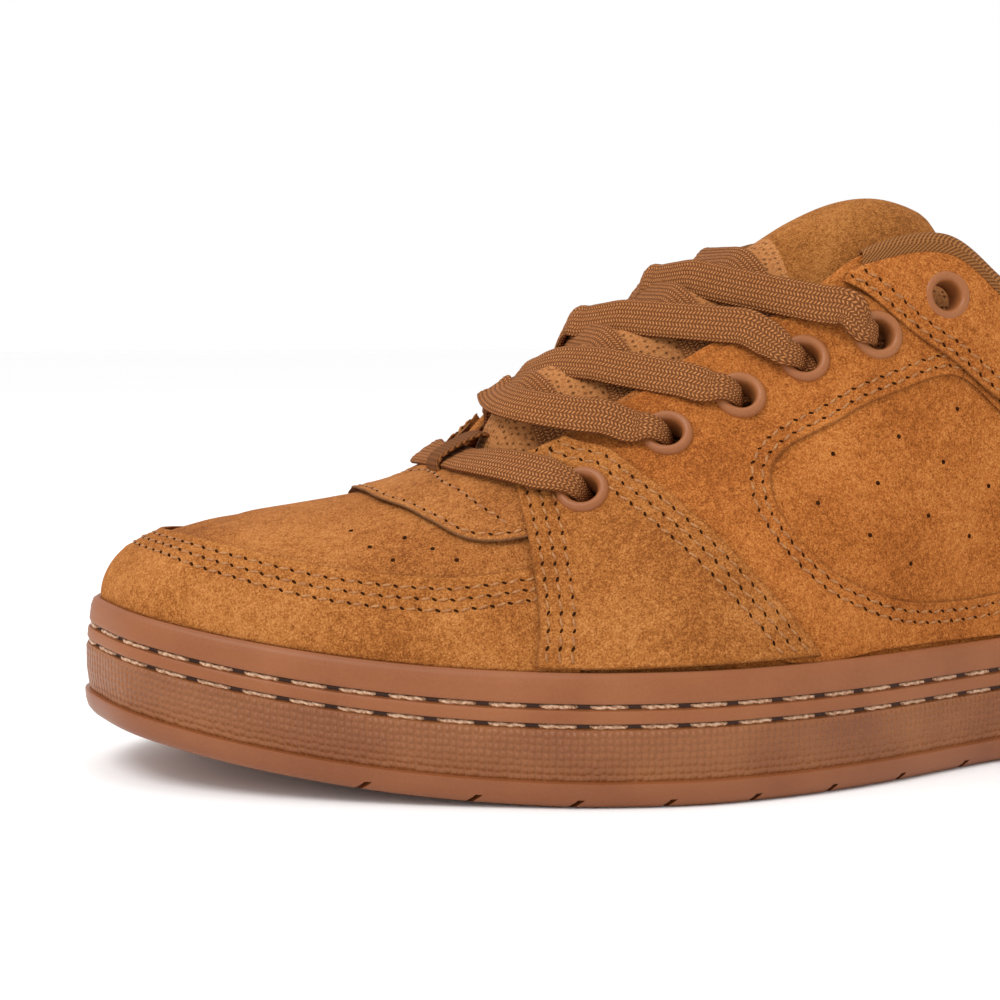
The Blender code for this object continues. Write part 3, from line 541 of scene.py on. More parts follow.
class Form:
    """The lasted form: sole outline, wall of the upper and tongue, as functions of named sizes."""

    def __init__(self, sizes: ShoeSizes) -> None:
        """Keeps the sizes and the section rows.

        Args:
            sizes: The shoe's sizes.
        """
        self.s = sizes
        self.rows = np.array(SECTIONS, float)

    def blend(self, places: Array) -> Array:
        """The section values at fractional places."""
        return closed_curve(self.rows, places)

    def even_places(self, count: int) -> Array:
        """Places that divide the sole's outline evenly, with the first repeated at the end."""
        fine = np.linspace(0, len(self.rows), 3041)
        values = self.blend(fine)
        points = values[:, :2] * (self.s.length, self.s.ball_width)
        walked = np.concatenate([[0], np.cumsum(np.hypot(*np.diff(points, axis=0).T))])
        return np.interp(np.linspace(0, walked[-1], count + 1), walked, fine)

    def outline(self, places: Array, inset: float | Array) -> Array:
        """The sole's plan outline moved inwards.

        Args:
            places: Places among the sections.
            inset: How far inwards, in metres.

        Returns:
            Plan points.
        """
        step = 0.02
        points = []
        for shift in (-step, 0.0, step):
            values = self.blend(places + shift)
            x = (values[:, 0] - 0.5) * self.s.length
            points.append(np.column_stack([x, values[:, 1] * self.s.ball_width]))
        tangent = unit(points[2] - points[0])
        inward = np.column_stack([tangent[:, 1], -tangent[:, 0]])
        return points[1] + inward * np.reshape(inset, (-1, 1))

    def sole_bottom(self, x: Array) -> Array:
        """Height of the underside: flat to the ball, a shallow arch, then the toe spring."""
        s = self.s
        share = np.clip((x - s.spring_starts) / (s.length / 2 - s.spring_starts), 0, 1)
        arch = np.clip(1 - np.abs(x - s.arch_middle) / s.arch_reach, 0, 1)
        return s.toe_spring * share**2.1 + s.arch_lift * arch * arch * (3 - 2 * arch)

    def side_height(self, x: Array, up: float | Array) -> Array:
        """Height of a share of the cup's side wall."""
        toe = np.clip((x - 0.060) / 0.090, 0, 1)
        heel = np.clip((-0.050 - x) / 0.100, 0, 1)
        return self.sole_bottom(x) + up * self.s.wall_height * (1 - 0.055 * toe + 0.13 * heel**1.4)

    def cup_floor(self, x: Array) -> Array:
        """Height of the floor inside the cup."""
        heel = np.clip((0.030 - x) / 0.110, 0, 1)
        heel = heel * heel * (3 - 2 * heel)
        return self.sole_bottom(x) + self.s.floor_fore + (self.s.floor_heel - self.s.floor_fore) * heel

    def opening(self, places: Array) -> tuple[Array, Array, Array, Array]:
        """The opening's edge, the wall's last direction there, outward, and half the rim's thickness."""
        s = self.s
        values = self.blend(places)
        flat = self.outline(places, s.cup_wall + s.gap)
        start = np.column_stack([flat, self.side_height(flat[:, 0], s.lip)])
        edge = np.column_stack(
            [(values[:, 2] - 0.5) * s.length, values[:, 3] * s.ball_width, values[:, 4] * s.collar_height]
        )
        span = edge - start
        last = unit(np.column_stack([span[:, :2] * (1 - values[:, 7:8]), span[:, 2:] * (1 - values[:, 8:9])]))
        level = unit(span[:, :2])
        out = np.column_stack([-level * last[:, 2:], np.linalg.norm(last[:, :2], axis=1)])
        return edge, last, out, (values[:, 9] * s.leather / 2)[:, None]

    def wall(self, places: Array, rises: Array) -> Array:
        """Points of the upper's outer surface.

        Args:
            places: Places among the sections.
            rises: Shares of the wall's way up, one for each place.

        Returns:
            Points in space.
        """
        values = self.blend(places)
        flat = self.outline(places, self.s.cup_wall + self.s.gap)
        start = np.column_stack([flat, self.side_height(flat[:, 0], self.s.lip)])
        edge, last, out, half = self.opening(places)
        span = edge - last * half + out * half - start
        a, b, c = 3 * rises * (1 - rises) ** 2, 3 * rises**2 * (1 - rises), rises**3
        inwards = a * values[:, 5] + b * values[:, 7] + c
        upwards = a * values[:, 6] + b * values[:, 8] + c
        return start + np.column_stack([span[:, :2] * inwards[:, None], span[:, 2] * upwards])

    def normals(self, places: Array, rises: Array) -> Array:
        """Outward directions of the wall."""
        step = 0.01
        up = self.wall(places, rises + step) - self.wall(places, rises - step)
        along = self.wall(places + 0.05, rises) - self.wall(places - 0.05, rises)
        return unit(np.cross(up, along))

    def lifted(self, places: Array, rises: Array, lifts: float | Array) -> Array:
        """Points of the wall moved outwards by lifts, in metres."""
        return self.wall(places, rises) + self.normals(places, rises) * np.reshape(lifts, (-1, 1))

    def thickness(self, places: Array, rises: Array) -> Array:
        """Leather low down, padding towards the collar."""
        rim = self.blend(places)[:, 9]
        share = np.clip((rises - 0.45) / 0.45, 0, 1)
        return self.s.leather * (1 + (np.maximum(rim, 1) - 1) * share * share * (3 - 2 * share))

    def shifted(self, line: Array, distance: float) -> Array:
        """A line of (place, rise) points moved sideways over the wall.

        Args:
            line: The line's (place, rise) points.
            distance: How far, in metres, to the left of its way as seen from outside.

        Returns:
            The moved (place, rise) points.
        """
        steps = max(1, int(abs(distance) / (1.5 * MM)))
        moved = line.copy()
        for _ in range(steps):
            point = self.wall(moved[:, 0], moved[:, 1])
            way = np.gradient(point, axis=0)
            aside = unit(np.cross(self.normals(moved[:, 0], moved[:, 1]), way))
            places, rises = moved.T
            by_place = (self.wall(places + 0.02, rises) - self.wall(places - 0.02, rises)) / 0.04
            by_rise = (self.wall(places, rises + 0.01) - self.wall(places, rises - 0.01)) / 0.02
            wanted = aside * (distance / steps)
            pairs = ((by_place, by_place), (by_place, by_rise), (by_rise, by_rise))
            pp, pr, rr = ((a * b).sum(1) for a, b in pairs)
            wp, wr = (wanted * by_place).sum(1), (wanted * by_rise).sum(1)
            base = pp * rr - pr * pr
            moved = moved + np.column_stack([(wp * rr - wr * pr) / base, (wr * pp - wp * pr) / base])
        return moved

    def spine(self, start: Array) -> Array:
        """Where an outline's points come to when it closes towards the sole's middle line."""
        middle = np.column_stack([np.clip(start[:, 0], -0.118, 0.112) * 0.9, start[:, 1] * 0 - 0.002])
        middle[:, 1] += 0.006 * np.sign(start[:, 1] + 0.002)
        return middle

    def tongue_rows(self, count: int) -> Array:
        """Rows of the tongue: x, crown, half width, drop, thickness."""
        s = self.s
        tall = s.tongue_height
        rows = np.array(TONGUE_STATIONS) * (s.length, tall, s.ball_width, tall, tall)
        rows[:, 0] -= s.length / 2
        return smooth_line(rows, count)


def smooth_line(points: Array | tuple, count: int) -> Array:
    """Even points on a smooth open line.

    Args:
        points: The points that the line runs through.
        count: How many points to return.

    Returns:
        The points on the line.
    """
    points = np.asarray(points, float)
    ends = np.vstack([2 * points[0] - points[1], points, 2 * points[-1] - points[-2]])
    part = np.linspace(0, 1, 24, endpoint=False)[:, None]
    fine = []
    for k in range(1, len(ends) - 2):
        before, here, after, beyond = ends[k - 1 : k + 3]
        fine.append(through(before, here, after, beyond, part))
    line = np.vstack(fine + [points[-1:]])
    walked = walk(line)
    wanted = np.linspace(0, walked[-1], count)
    return np.column_stack([np.interp(wanted, walked, line[:, k]) for k in range(line.shape[1])])


def closed_line(points: tuple, count: int) -> Array:
    """Points on a smooth closed line, with the first repeated at the end."""
    rows = np.asarray(points, float)
    return closed_curve(rows, np.linspace(0, len(rows), count + 1))


def band_shares(length: float, step: float) -> Array:
    """Shares across a panel, close together at its two edges.

    Args:
        length: The panel's width in metres.
        step: The spacing between the edges, in metres.

    Returns:
        Shares from 0 to 1.
    """
    close = np.array([0.0, 0.10, 0.25, 0.50, 0.85]) * MM / length
    count = max(4, int((length - 2 * MM) / step))
    inner = np.linspace(1.3 * MM / length, 1 - 1.3 * MM / length, count)
    return np.concatenate([close, inner, 1 - close[::-1]])


class Bench:
    """Modelling with Blender's own tools."""

    @staticmethod
    def clear() -> None:
        """Leaves nothing selected."""
        bpy.ops.object.select_all(action="DESELECT")

    @staticmethod
    def pick(piece: bpy.types.Object) -> None:
        """Selects one piece and makes it active."""
        Bench.clear()
        piece.select_set(True)
        bpy.context.view_layer.objects.active = piece

    @staticmethod
    def sheet(
        name: str,
        grid: Array,
        weld: bool = False,
        close: bool = False,
        flip: bool = False,
        spots: Array | None = None,
    ) -> bpy.types.Object:
        """A grid bent to rows of points, with its seam welded and its ends closed as asked.

        Args:
            name: The piece's name.
            grid: Points as (rows, columns, 3).
            weld: Merge the columns' ends.
            close: Close the open ends.
            flip: Turn the faces of an open sheet.
            spots: UV places as (rows, columns, 2), in units of 10 mm.

        Returns:
            The piece.
        """
        rows, columns = grid.shape[:2]
        Bench.clear()
        bpy.ops.mesh.primitive_grid_add(x_subdivisions=columns - 1, y_subdivisions=rows - 1, size=1)
        piece = bpy.context.object
        piece.name = name
        piece.data.name = name
        piece.data.vertices.foreach_set("co", np.ascontiguousarray(grid, np.float32).ravel())
        if spots is not None:
            index = np.empty(len(piece.data.loops), np.int32)
            piece.data.loops.foreach_get("vertex_index", index)
            flat = spots.reshape(-1, 2)[index].astype(np.float32)
            piece.data.uv_layers[0].data.foreach_set("uv", flat.ravel())
        bpy.ops.object.mode_set(mode="EDIT")
        bpy.ops.mesh.select_all(action="SELECT")
        if weld:
            bpy.ops.mesh.remove_doubles(threshold=2e-6)
        if close:
            bpy.ops.mesh.fill_holes(sides=0)
        bpy.ops.mesh.select_all(action="SELECT")
        if weld:
            bpy.ops.mesh.normals_make_consistent(inside=False)
        elif flip:
            bpy.ops.mesh.flip_normals()
        bpy.ops.object.mode_set(mode="OBJECT")
        piece.data.update()
        return piece

    @staticmethod
    def note(piece: bpy.types.Object, name: str, values: Array) -> None:
        """Stores one number for each point, such as how near a cut edge is."""
        layer = piece.data.attributes.new(name, "FLOAT", "POINT")
        layer.data.foreach_set("value", values.astype(np.float32).ravel())

    @staticmethod
    def finish(piece: bpy.types.Object, kind: str, **settings: object) -> None:
        """Adds a modifier with its settings and applies it."""
        Bench.pick(piece)
        modifier = piece.modifiers.new(kind.lower(), kind)
        for key, value in settings.items():
            setattr(modifier, key, value)
        bpy.ops.object.modifier_apply(modifier=modifier.name)

    @staticmethod
    def smooth(piece: bpy.types.Object, angle: float = 40.0) -> None:
        """Smooth shading, with edges sharper than the angle left crisp."""
        Bench.pick(piece)
        bpy.ops.object.shade_smooth_by_angle(angle=math.radians(angle))

    @staticmethod
    def tree(piece: bpy.types.Object) -> BVHTree:
        """A search tree over a piece."""
        return BVHTree.FromObject(piece, bpy.context.evaluated_depsgraph_get())

    @staticmethod
    def join_copies(
        name: str, pattern: bpy.types.Object, frames: Array, *finishes: bpy.types.Material
    ) -> bpy.types.Object:
        """Many copies of one small modelled shape as a single piece.

        Args:
            name: The new piece's name.
            pattern: The modelled shape, which is removed afterwards.
            frames: One 3 by 4 placing matrix for each copy.
            finishes: The piece's materials.

        Returns:
            The piece.
        """
        count = len(pattern.data.vertices)
        points = np.empty(count * 3)
        pattern.data.vertices.foreach_get("co", points)
        points = np.column_stack([points.reshape(-1, 3), np.ones(count)])
        placed = np.einsum("kij,nj->kni", frames, points).reshape(-1, 3)
        faces = [tuple(face.vertices) for face in pattern.data.polygons]
        every = [tuple(v + k * count for v in face) for k in range(len(frames)) for face in faces]
        mesh = bpy.data.meshes.new(name)
        mesh.from_pydata(placed.tolist(), [], every)
        for finish in finishes:
            mesh.materials.append(finish)
        slots = np.tile([face.material_index for face in pattern.data.polygons], len(frames))
        mesh.polygons.foreach_set("material_index", slots.astype(np.int32))
        mesh.polygons.foreach_set("use_smooth", np.ones(len(every), bool))
        mesh.update()
        piece = bpy.data.objects.new(name, mesh)
        bpy.context.scene.collection.objects.link(piece)
        bpy.data.objects.remove(pattern, do_unlink=True)
        return piece


def put(
    tree: bpy.types.NodeTree, kind: str, settings: dict | None = None, **links: object
) -> bpy.types.Node:
    """Adds a node with its settings and links.

    Args:
        tree: The material's node tree.
        kind: The node's type.
        settings: Input names or attributes with their values.
        links: Input names, with spaces as underscores, and the sockets that feed them.

    Returns:
        The node.
    """
    node = tree.nodes.new(kind)
    for key, value in (settings or {}).items():
        if isinstance(key, int) or key in node.inputs:
            node.inputs[key].default_value = value
        else:
            setattr(node, key, value)
    for key, socket in links.items():
        tree.links.new(socket, node.inputs[key.replace("_", " ")])
    return node


def mixed(tree: bpy.types.NodeTree, share: object, low: object, high: object) -> bpy.types.NodeSocket:
    """A colour between two others.

    Args:
        tree: The material's node tree.
        share: The socket that picks between them.
        low: A colour or a socket.
        high: A colour or a socket.

    Returns:
        The mixed colour's socket.
    """
    node = put(tree, "ShaderNodeMix", {"data_type": "RGBA"})
    tree.links.new(share, node.inputs[0])
    for index, value in ((6, low), (7, high)):
        if isinstance(value, bpy.types.NodeSocket):
            tree.links.new(value, node.inputs[index])
        else:
            node.inputs[index].default_value = value
    return node.outputs[2]


def eased(tree: bpy.types.NodeTree, value: object, low: float, high: float) -> bpy.types.NodeSocket:
    """A value spread from low to high onto 0 to 1."""
    node = put(tree, "ShaderNodeMapRange", {1: low, 2: high})
    tree.links.new(value, node.inputs[0])
    return node.outputs[0]


def maths(tree: bpy.types.NodeTree, kind: str, first: object, second: object) -> bpy.types.NodeSocket:
    """Two values through one Math node."""
    node = put(tree, "ShaderNodeMath", {"operation": kind})
    for index, value in ((0, first), (1, second)):
        if isinstance(value, bpy.types.NodeSocket):
            tree.links.new(value, node.inputs[index])
        else:
            node.inputs[index].default_value = value
    return node.outputs[0]


def noise(
    tree: bpy.types.NodeTree, spot: bpy.types.NodeSocket, grain: float, detail: float, **more: float
) -> bpy.types.NodeSocket:
    """Noise whose grains have a size in metres."""
    settings = {"Scale": 1 / grain, "Detail": detail, **more}
    return put(tree, "ShaderNodeTexNoise", settings, Vector=spot).outputs[0]


def bump(
    tree: bpy.types.NodeTree, height: bpy.types.NodeSocket, strength: float, depth: float, **below: object
) -> bpy.types.NodeSocket:
    """A relief of a depth in metres, over another one where Normal gives it."""
    settings = {"Strength": strength, "Distance": depth}
    return put(tree, "ShaderNodeBump", settings, Height=height, **below).outputs[0]


def lay_on(
    tree: bpy.types.NodeTree,
    shader: bpy.types.Node,
    colour: bpy.types.NodeSocket,
    relief: bpy.types.NodeSocket,
    roughness: float,
    shine: float,
) -> None:
    """Feeds a shader its colour, relief, roughness and shine."""
    tree.links.new(colour, shader.inputs["Base Color"])
    tree.links.new(relief, shader.inputs["Normal"])
    shader.inputs["Roughness"].default_value = roughness
    shader.inputs["Specular IOR Level"].default_value = shine


def begin(name: str) -> tuple[bpy.types.Material, bpy.types.NodeTree, bpy.types.Node]:
    """A new material with its node tree and shader."""
    finish = bpy.data.materials.new(name)
    finish.use_nodes = True
    return finish, finish.node_tree, finish.node_tree.nodes["Principled BSDF"]


@dataclass(frozen=True)
class Suede:
    """Split leather buffed on its flesh side: a short brown nap, lighter where it was stroked."""

    name: str
    base: str
    light: str
    dark: str
    edge: str = "#5e3619"
    fibre: float = 0.42 * MM
    patch: float = 24 * MM

    def build(self) -> bpy.types.Material:
        """The material: brushed patches, short fibres and darker cut edges."""
        finish, tree, shader = begin(self.name)
        spot = put(tree, "ShaderNodeTexCoord").outputs["Object"]
        broad = noise(tree, spot, self.patch, 4.0, Roughness=0.6)
        blotch = noise(tree, spot, 1.5 * MM, 4.0, Roughness=0.6)
        fibre = noise(tree, spot, self.fibre, 4.0, Roughness=0.7, Distortion=0.6)
        tone = None
        for source, low, high, weight in (
            (broad, 0.36, 0.66, 0.24),
            (blotch, 0.34, 0.68, 0.20),
            (fibre, 0.37, 0.64, 0.56),
        ):
            part = maths(tree, "MULTIPLY", eased(tree, source, low, high), weight)
            tone = part if tone is None else maths(tree, "ADD", tone, part)
        low = mixed(tree, eased(tree, tone, 0.22, 0.50), linear(self.dark), linear(self.base))
        colour = mixed(tree, eased(tree, tone, 0.50, 0.80), low, linear(self.light))
        rim = put(tree, "ShaderNodeAttribute", {"attribute_name": "rim"}).outputs["Fac"]
        colour = mixed(tree, rim, colour, linear(self.edge))
        nap = bump(tree, fibre, 0.75, 0.28 * MM)
        lay_on(tree, shader, colour, bump(tree, blotch, 0.5, 0.6 * MM, Normal=nap), 0.92, 0.08)
        shader.inputs["Sheen Weight"].default_value = 0.12
        shader.inputs["Sheen Roughness"].default_value = 0.45
        shader.inputs["Sheen Tint"].default_value = linear("#e09a55")
        return finish


@dataclass(frozen=True)
class GumRubber:
    """Moulded gum rubber: brown, satin, with a faint mould grain, or pebbled where a bump is given."""

    name: str
    base: str
    light: str
    roughness: float
    pebble: float = 0.0

    def build(self) -> bpy.types.Material:
        """The material, with rows of small pebbles where they are asked for."""
        finish, tree, shader = begin(self.name)
        spot = put(tree, "ShaderNodeTexCoord").outputs["Object"]
        cloud = noise(tree, spot, 22 * MM, 4.0)
        speck = noise(tree, spot, 0.5 * MM, 3.0)
        tone = maths(tree, "ADD", maths(tree, "MULTIPLY", cloud, 0.7), maths(tree, "MULTIPLY", speck, 0.3))
        colour = mixed(tree, eased(tree, tone, 0.34, 0.66), linear(self.base), linear(self.light))
        relief = bump(tree, speck, 0.25, 0.08 * MM)
        if self.pebble > 0:
            flat = put(tree, "ShaderNodeUVMap", {"uv_map": "UVMap"}).outputs[0]
            settings = {"voronoi_dimensions": "2D", "feature": "SMOOTH_F1", "Scale": UV_UNIT / self.pebble}
            settings.update({"Randomness": 0.28, "Smoothness": 0.35})
            cell = put(tree, "ShaderNodeTexVoronoi", settings, Vector=flat).outputs["Distance"]
            dome = maths(tree, "SUBTRACT", 1.0, eased(tree, cell, 0.10, 0.62))
            relief = bump(tree, dome, 1.0, 0.45 * MM, Normal=relief)
        lay_on(tree, shader, colour, relief, self.roughness, 0.36)
        return finish


@dataclass(frozen=True)
class BraidedLace:
    """Flat braided cotton: columns of small slanted stitches, matt, with painted shade in the gaps between
    them and a painted highlight on their crowns.
    """

    name: str
    base: str
    light: str
    dark: str
    column: float = 1.10 * MM
    stitch: float = 0.85 * MM

    def build(self) -> bpy.types.Material:
        """The material: V-shaped stitches in columns, from the piece's own UV map."""
        finish, tree, shader = begin(self.name)
        flat = put(tree, "ShaderNodeUVMap", {"uv_map": "UVMap"}).outputs[0]
        parts = put(tree, "ShaderNodeSeparateXYZ", {}, Vector=flat)
        column = self.column / UV_UNIT
        across = maths(tree, "PINGPONG", parts.outputs[0], column)
        slant = maths(tree, "ADD", parts.outputs[1], maths(tree, "MULTIPLY", across, 0.55))
        row = maths(tree, "SINE", maths(tree, "MULTIPLY", slant, 2 * math.pi * UV_UNIT / self.stitch), 0.0)
        bead = eased(tree, row, -0.9, 0.8)
        ridge = eased(tree, maths(tree, "PINGPONG", parts.outputs[0], column / 2), 0.0, 0.32 * column)
        height = maths(tree, "MULTIPLY", bead, ridge)
        spot = put(tree, "ShaderNodeTexCoord").outputs["Object"]
        fuzz = eased(tree, noise(tree, spot, 0.5 * MM, 3.0), 0.3, 0.75)
        # Painted shade: the gaps between stitches go dark; painted highlight: their crowns go lighter, broken
        # by random fuzz.
        low = mixed(tree, height, linear(self.dark), linear(self.base))
        colour = mixed(tree, maths(tree, "MULTIPLY", height, fuzz), low, linear(self.light))
        lay_on(tree, shader, colour, bump(tree, height, 0.9, 0.35 * MM), 0.85, 0.10)
        return finish


@dataclass(frozen=True)
class KnitMesh:
    """Warp-knit spacer mesh: small open cells in a padded brown textile, with painted shade in the cells and
    a painted highlight on the yarn between them.
    """

    name: str
    base: str
    light: str
    dark: str
    cell: float = 1.25 * MM

    def build(self) -> bpy.types.Material:
        """The material: rows of cells on Object coordinates."""
        finish, tree, shader = begin(self.name)
        spot = put(tree, "ShaderNodeTexCoord").outputs["Object"]
        settings = {"feature": "F1", "Scale": 1 / self.cell, "Randomness": 0.25}
        cell = put(tree, "ShaderNodeTexVoronoi", settings, Vector=spot).outputs["Distance"]
        hole = eased(tree, cell, 0.08, 0.42)
        yarn = eased(tree, noise(tree, spot, 0.35 * MM, 3.0), 0.4, 0.75)
        # Painted shade darkens each cell's middle; the yarn between cells is painted lighter, a painted
        # highlight mixed with random yarn tone.
        low = mixed(tree, hole, linear(self.dark), linear(self.base))
        colour = mixed(tree, maths(tree, "MULTIPLY", hole, yarn), low, linear(self.light))
        lay_on(tree, shader, colour, bump(tree, hole, 0.9, 0.4 * MM), 0.9, 0.1)
        return finish


@dataclass(frozen=True)
class RibbedTape:
    """Woven binding tape: fine diagonal ribs along a folded edge, with painted shade between the ribs."""

    name: str
    base: str
    dark: str
    rib: float = 1.1 * MM
    cross: float = 0.8 * MM

    def build(self) -> bpy.types.Material:
        """The material: slanting ribs from the piece's own UV map."""
        finish, tree, shader = begin(self.name)
        flat = put(tree, "ShaderNodeUVMap", {"uv_map": "UVMap"}).outputs[0]
        parts = put(tree, "ShaderNodeSeparateXYZ", {}, Vector=flat)
        slant = maths(tree, "ADD", parts.outputs[0], maths(tree, "MULTIPLY", parts.outputs[1], 0.7))
        round_rib, round_cross = (2 * math.pi * UV_UNIT / size for size in (self.rib, self.cross))
        wave = maths(tree, "SINE", maths(tree, "MULTIPLY", slant, round_rib), 0.0)
        weft = maths(tree, "SINE", maths(tree, "MULTIPLY", parts.outputs[1], round_cross), 0.0)
        height = maths(tree, "ADD", eased(tree, wave, -1.0, 0.7), maths(tree, "MULTIPLY", weft, 0.22))
        # Painted shade: the troughs between ribs go to the dark colour.
        colour = mixed(tree, height, linear(self.dark), linear(self.base))
        lay_on(tree, shader, colour, bump(tree, height, 0.9, 0.3 * MM), 0.85, 0.1)
        return finish


@dataclass(frozen=True)
class Thread:
    """Twisted polyester thread, or a needle hole's inside painted near-black as shade."""

    name: str
    base: str
    light: str
    roughness: float = 0.6
    shine: float = 0.5

    def build(self) -> bpy.types.Material:
        """The material: a fine mottled yarn."""
        finish, tree, shader = begin(self.name)
        spot = put(tree, "ShaderNodeTexCoord").outputs["Object"]
        yarn = noise(tree, spot, 0.6 * MM, 2.0)
        colour = mixed(tree, eased(tree, yarn, 0.35, 0.65), linear(self.base), linear(self.light))
        lay_on(tree, shader, colour, bump(tree, yarn, 0.5, 0.15 * MM), self.roughness, self.shine)
        return finish


class Finishes:
    """Every finish of the shoe, built once."""

    def __init__(self) -> None:
        """Builds the materials."""
        self.rand = Suede("suede_toe_rand", "#a4642e", "#c08148", "#7c451d").build()
        self.vamp = Suede("suede_vamp", "#a0602d", "#ba7c45", "#743f1b").build()
        self.quarter = Suede("suede_quarter", "#a86029", "#c47e40", "#7c421a").build()
        self.window = Suede("suede_window", "#a96028", "#c47f42", "#7c431a").build()
        self.tongue = Suede("suede_tongue", "#9c602c", "#b47a42", "#704119").build()
        self.saddle = Suede("suede_saddle", "#a16230", "#bd8048", "#75421e", edge="#644630").build()
        self.foxing = GumRubber("gum_rubber_foxing", "#854b26", "#945932", 0.50).build()
        pebbled = GumRubber("gum_rubber_pebbled", "#7e4724", "#945b31", 0.42, pebble=1.5 * MM)
        self.pebbled = pebbled.build()
        self.outsole = GumRubber("gum_rubber_outsole", "#7d4523", "#8d532e", 0.40).build()
        # The stitch grooves are painted near-black: painted shade in the recessed channel of the same gum
        # rubber.
        self.groove = GumRubber("gum_rubber_groove_painted_shade", "#3a1d0e", "#472613", 0.6).build()
        self.eyelet = GumRubber("eyelet_rubber", "#8a4f28", "#9c6034", 0.42).build()
        self.lace = BraidedLace("braided_cotton_lace", "#ae6a38", "#d2905a", "#643a1d").build()
        self.webbing = RibbedTape("keeper_webbing", "#8d562b", "#452611", rib=1.0 * MM).build()
        self.tape = RibbedTape("collar_tape", "#a26a3a", "#6a4020").build()
        self.mesh = KnitMesh("spacer_mesh", "#a06234", "#c08a56", "#5e3719").build()
        self.lining = KnitMesh("lining_mesh", "#85532e", "#9c6a40", "#54321b", cell=1.3 * MM).build()
        self.footbed = KnitMesh("footbed_textile", "#4c3020", "#60402a", "#30200f", cell=0.9 * MM).build()
        self.thread = Thread("upper_thread", "#8f5728", "#b07840").build()
        # Needle holes and punched holes: flat near-black discs, painted shade where the holes are.
        self.hole = Thread("needle_hole_painted_shade", "#28140a", "#38200f", 0.95, 0.0).build()
        self.sole_thread = Thread("sole_thread", "#9a6a48", "#d9b190", 0.4).build()


def dress(piece: bpy.types.Object, *finishes: bpy.types.Material) -> None:
    """Gives a piece its material slots."""
    piece.data.materials.clear()
    for finish in finishes:
        piece.data.materials.append(finish)


def record(piece: bpy.types.Object, slot: str, *nodes: str) -> None:
    """Makes a piece ride on the shoe, hides the nodes it stands for, and reports it."""
    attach(piece, "root")
    if nodes:
        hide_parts(*nodes)
    LOG.info("%s: %d faces", piece.name, len(piece.data.polygons))


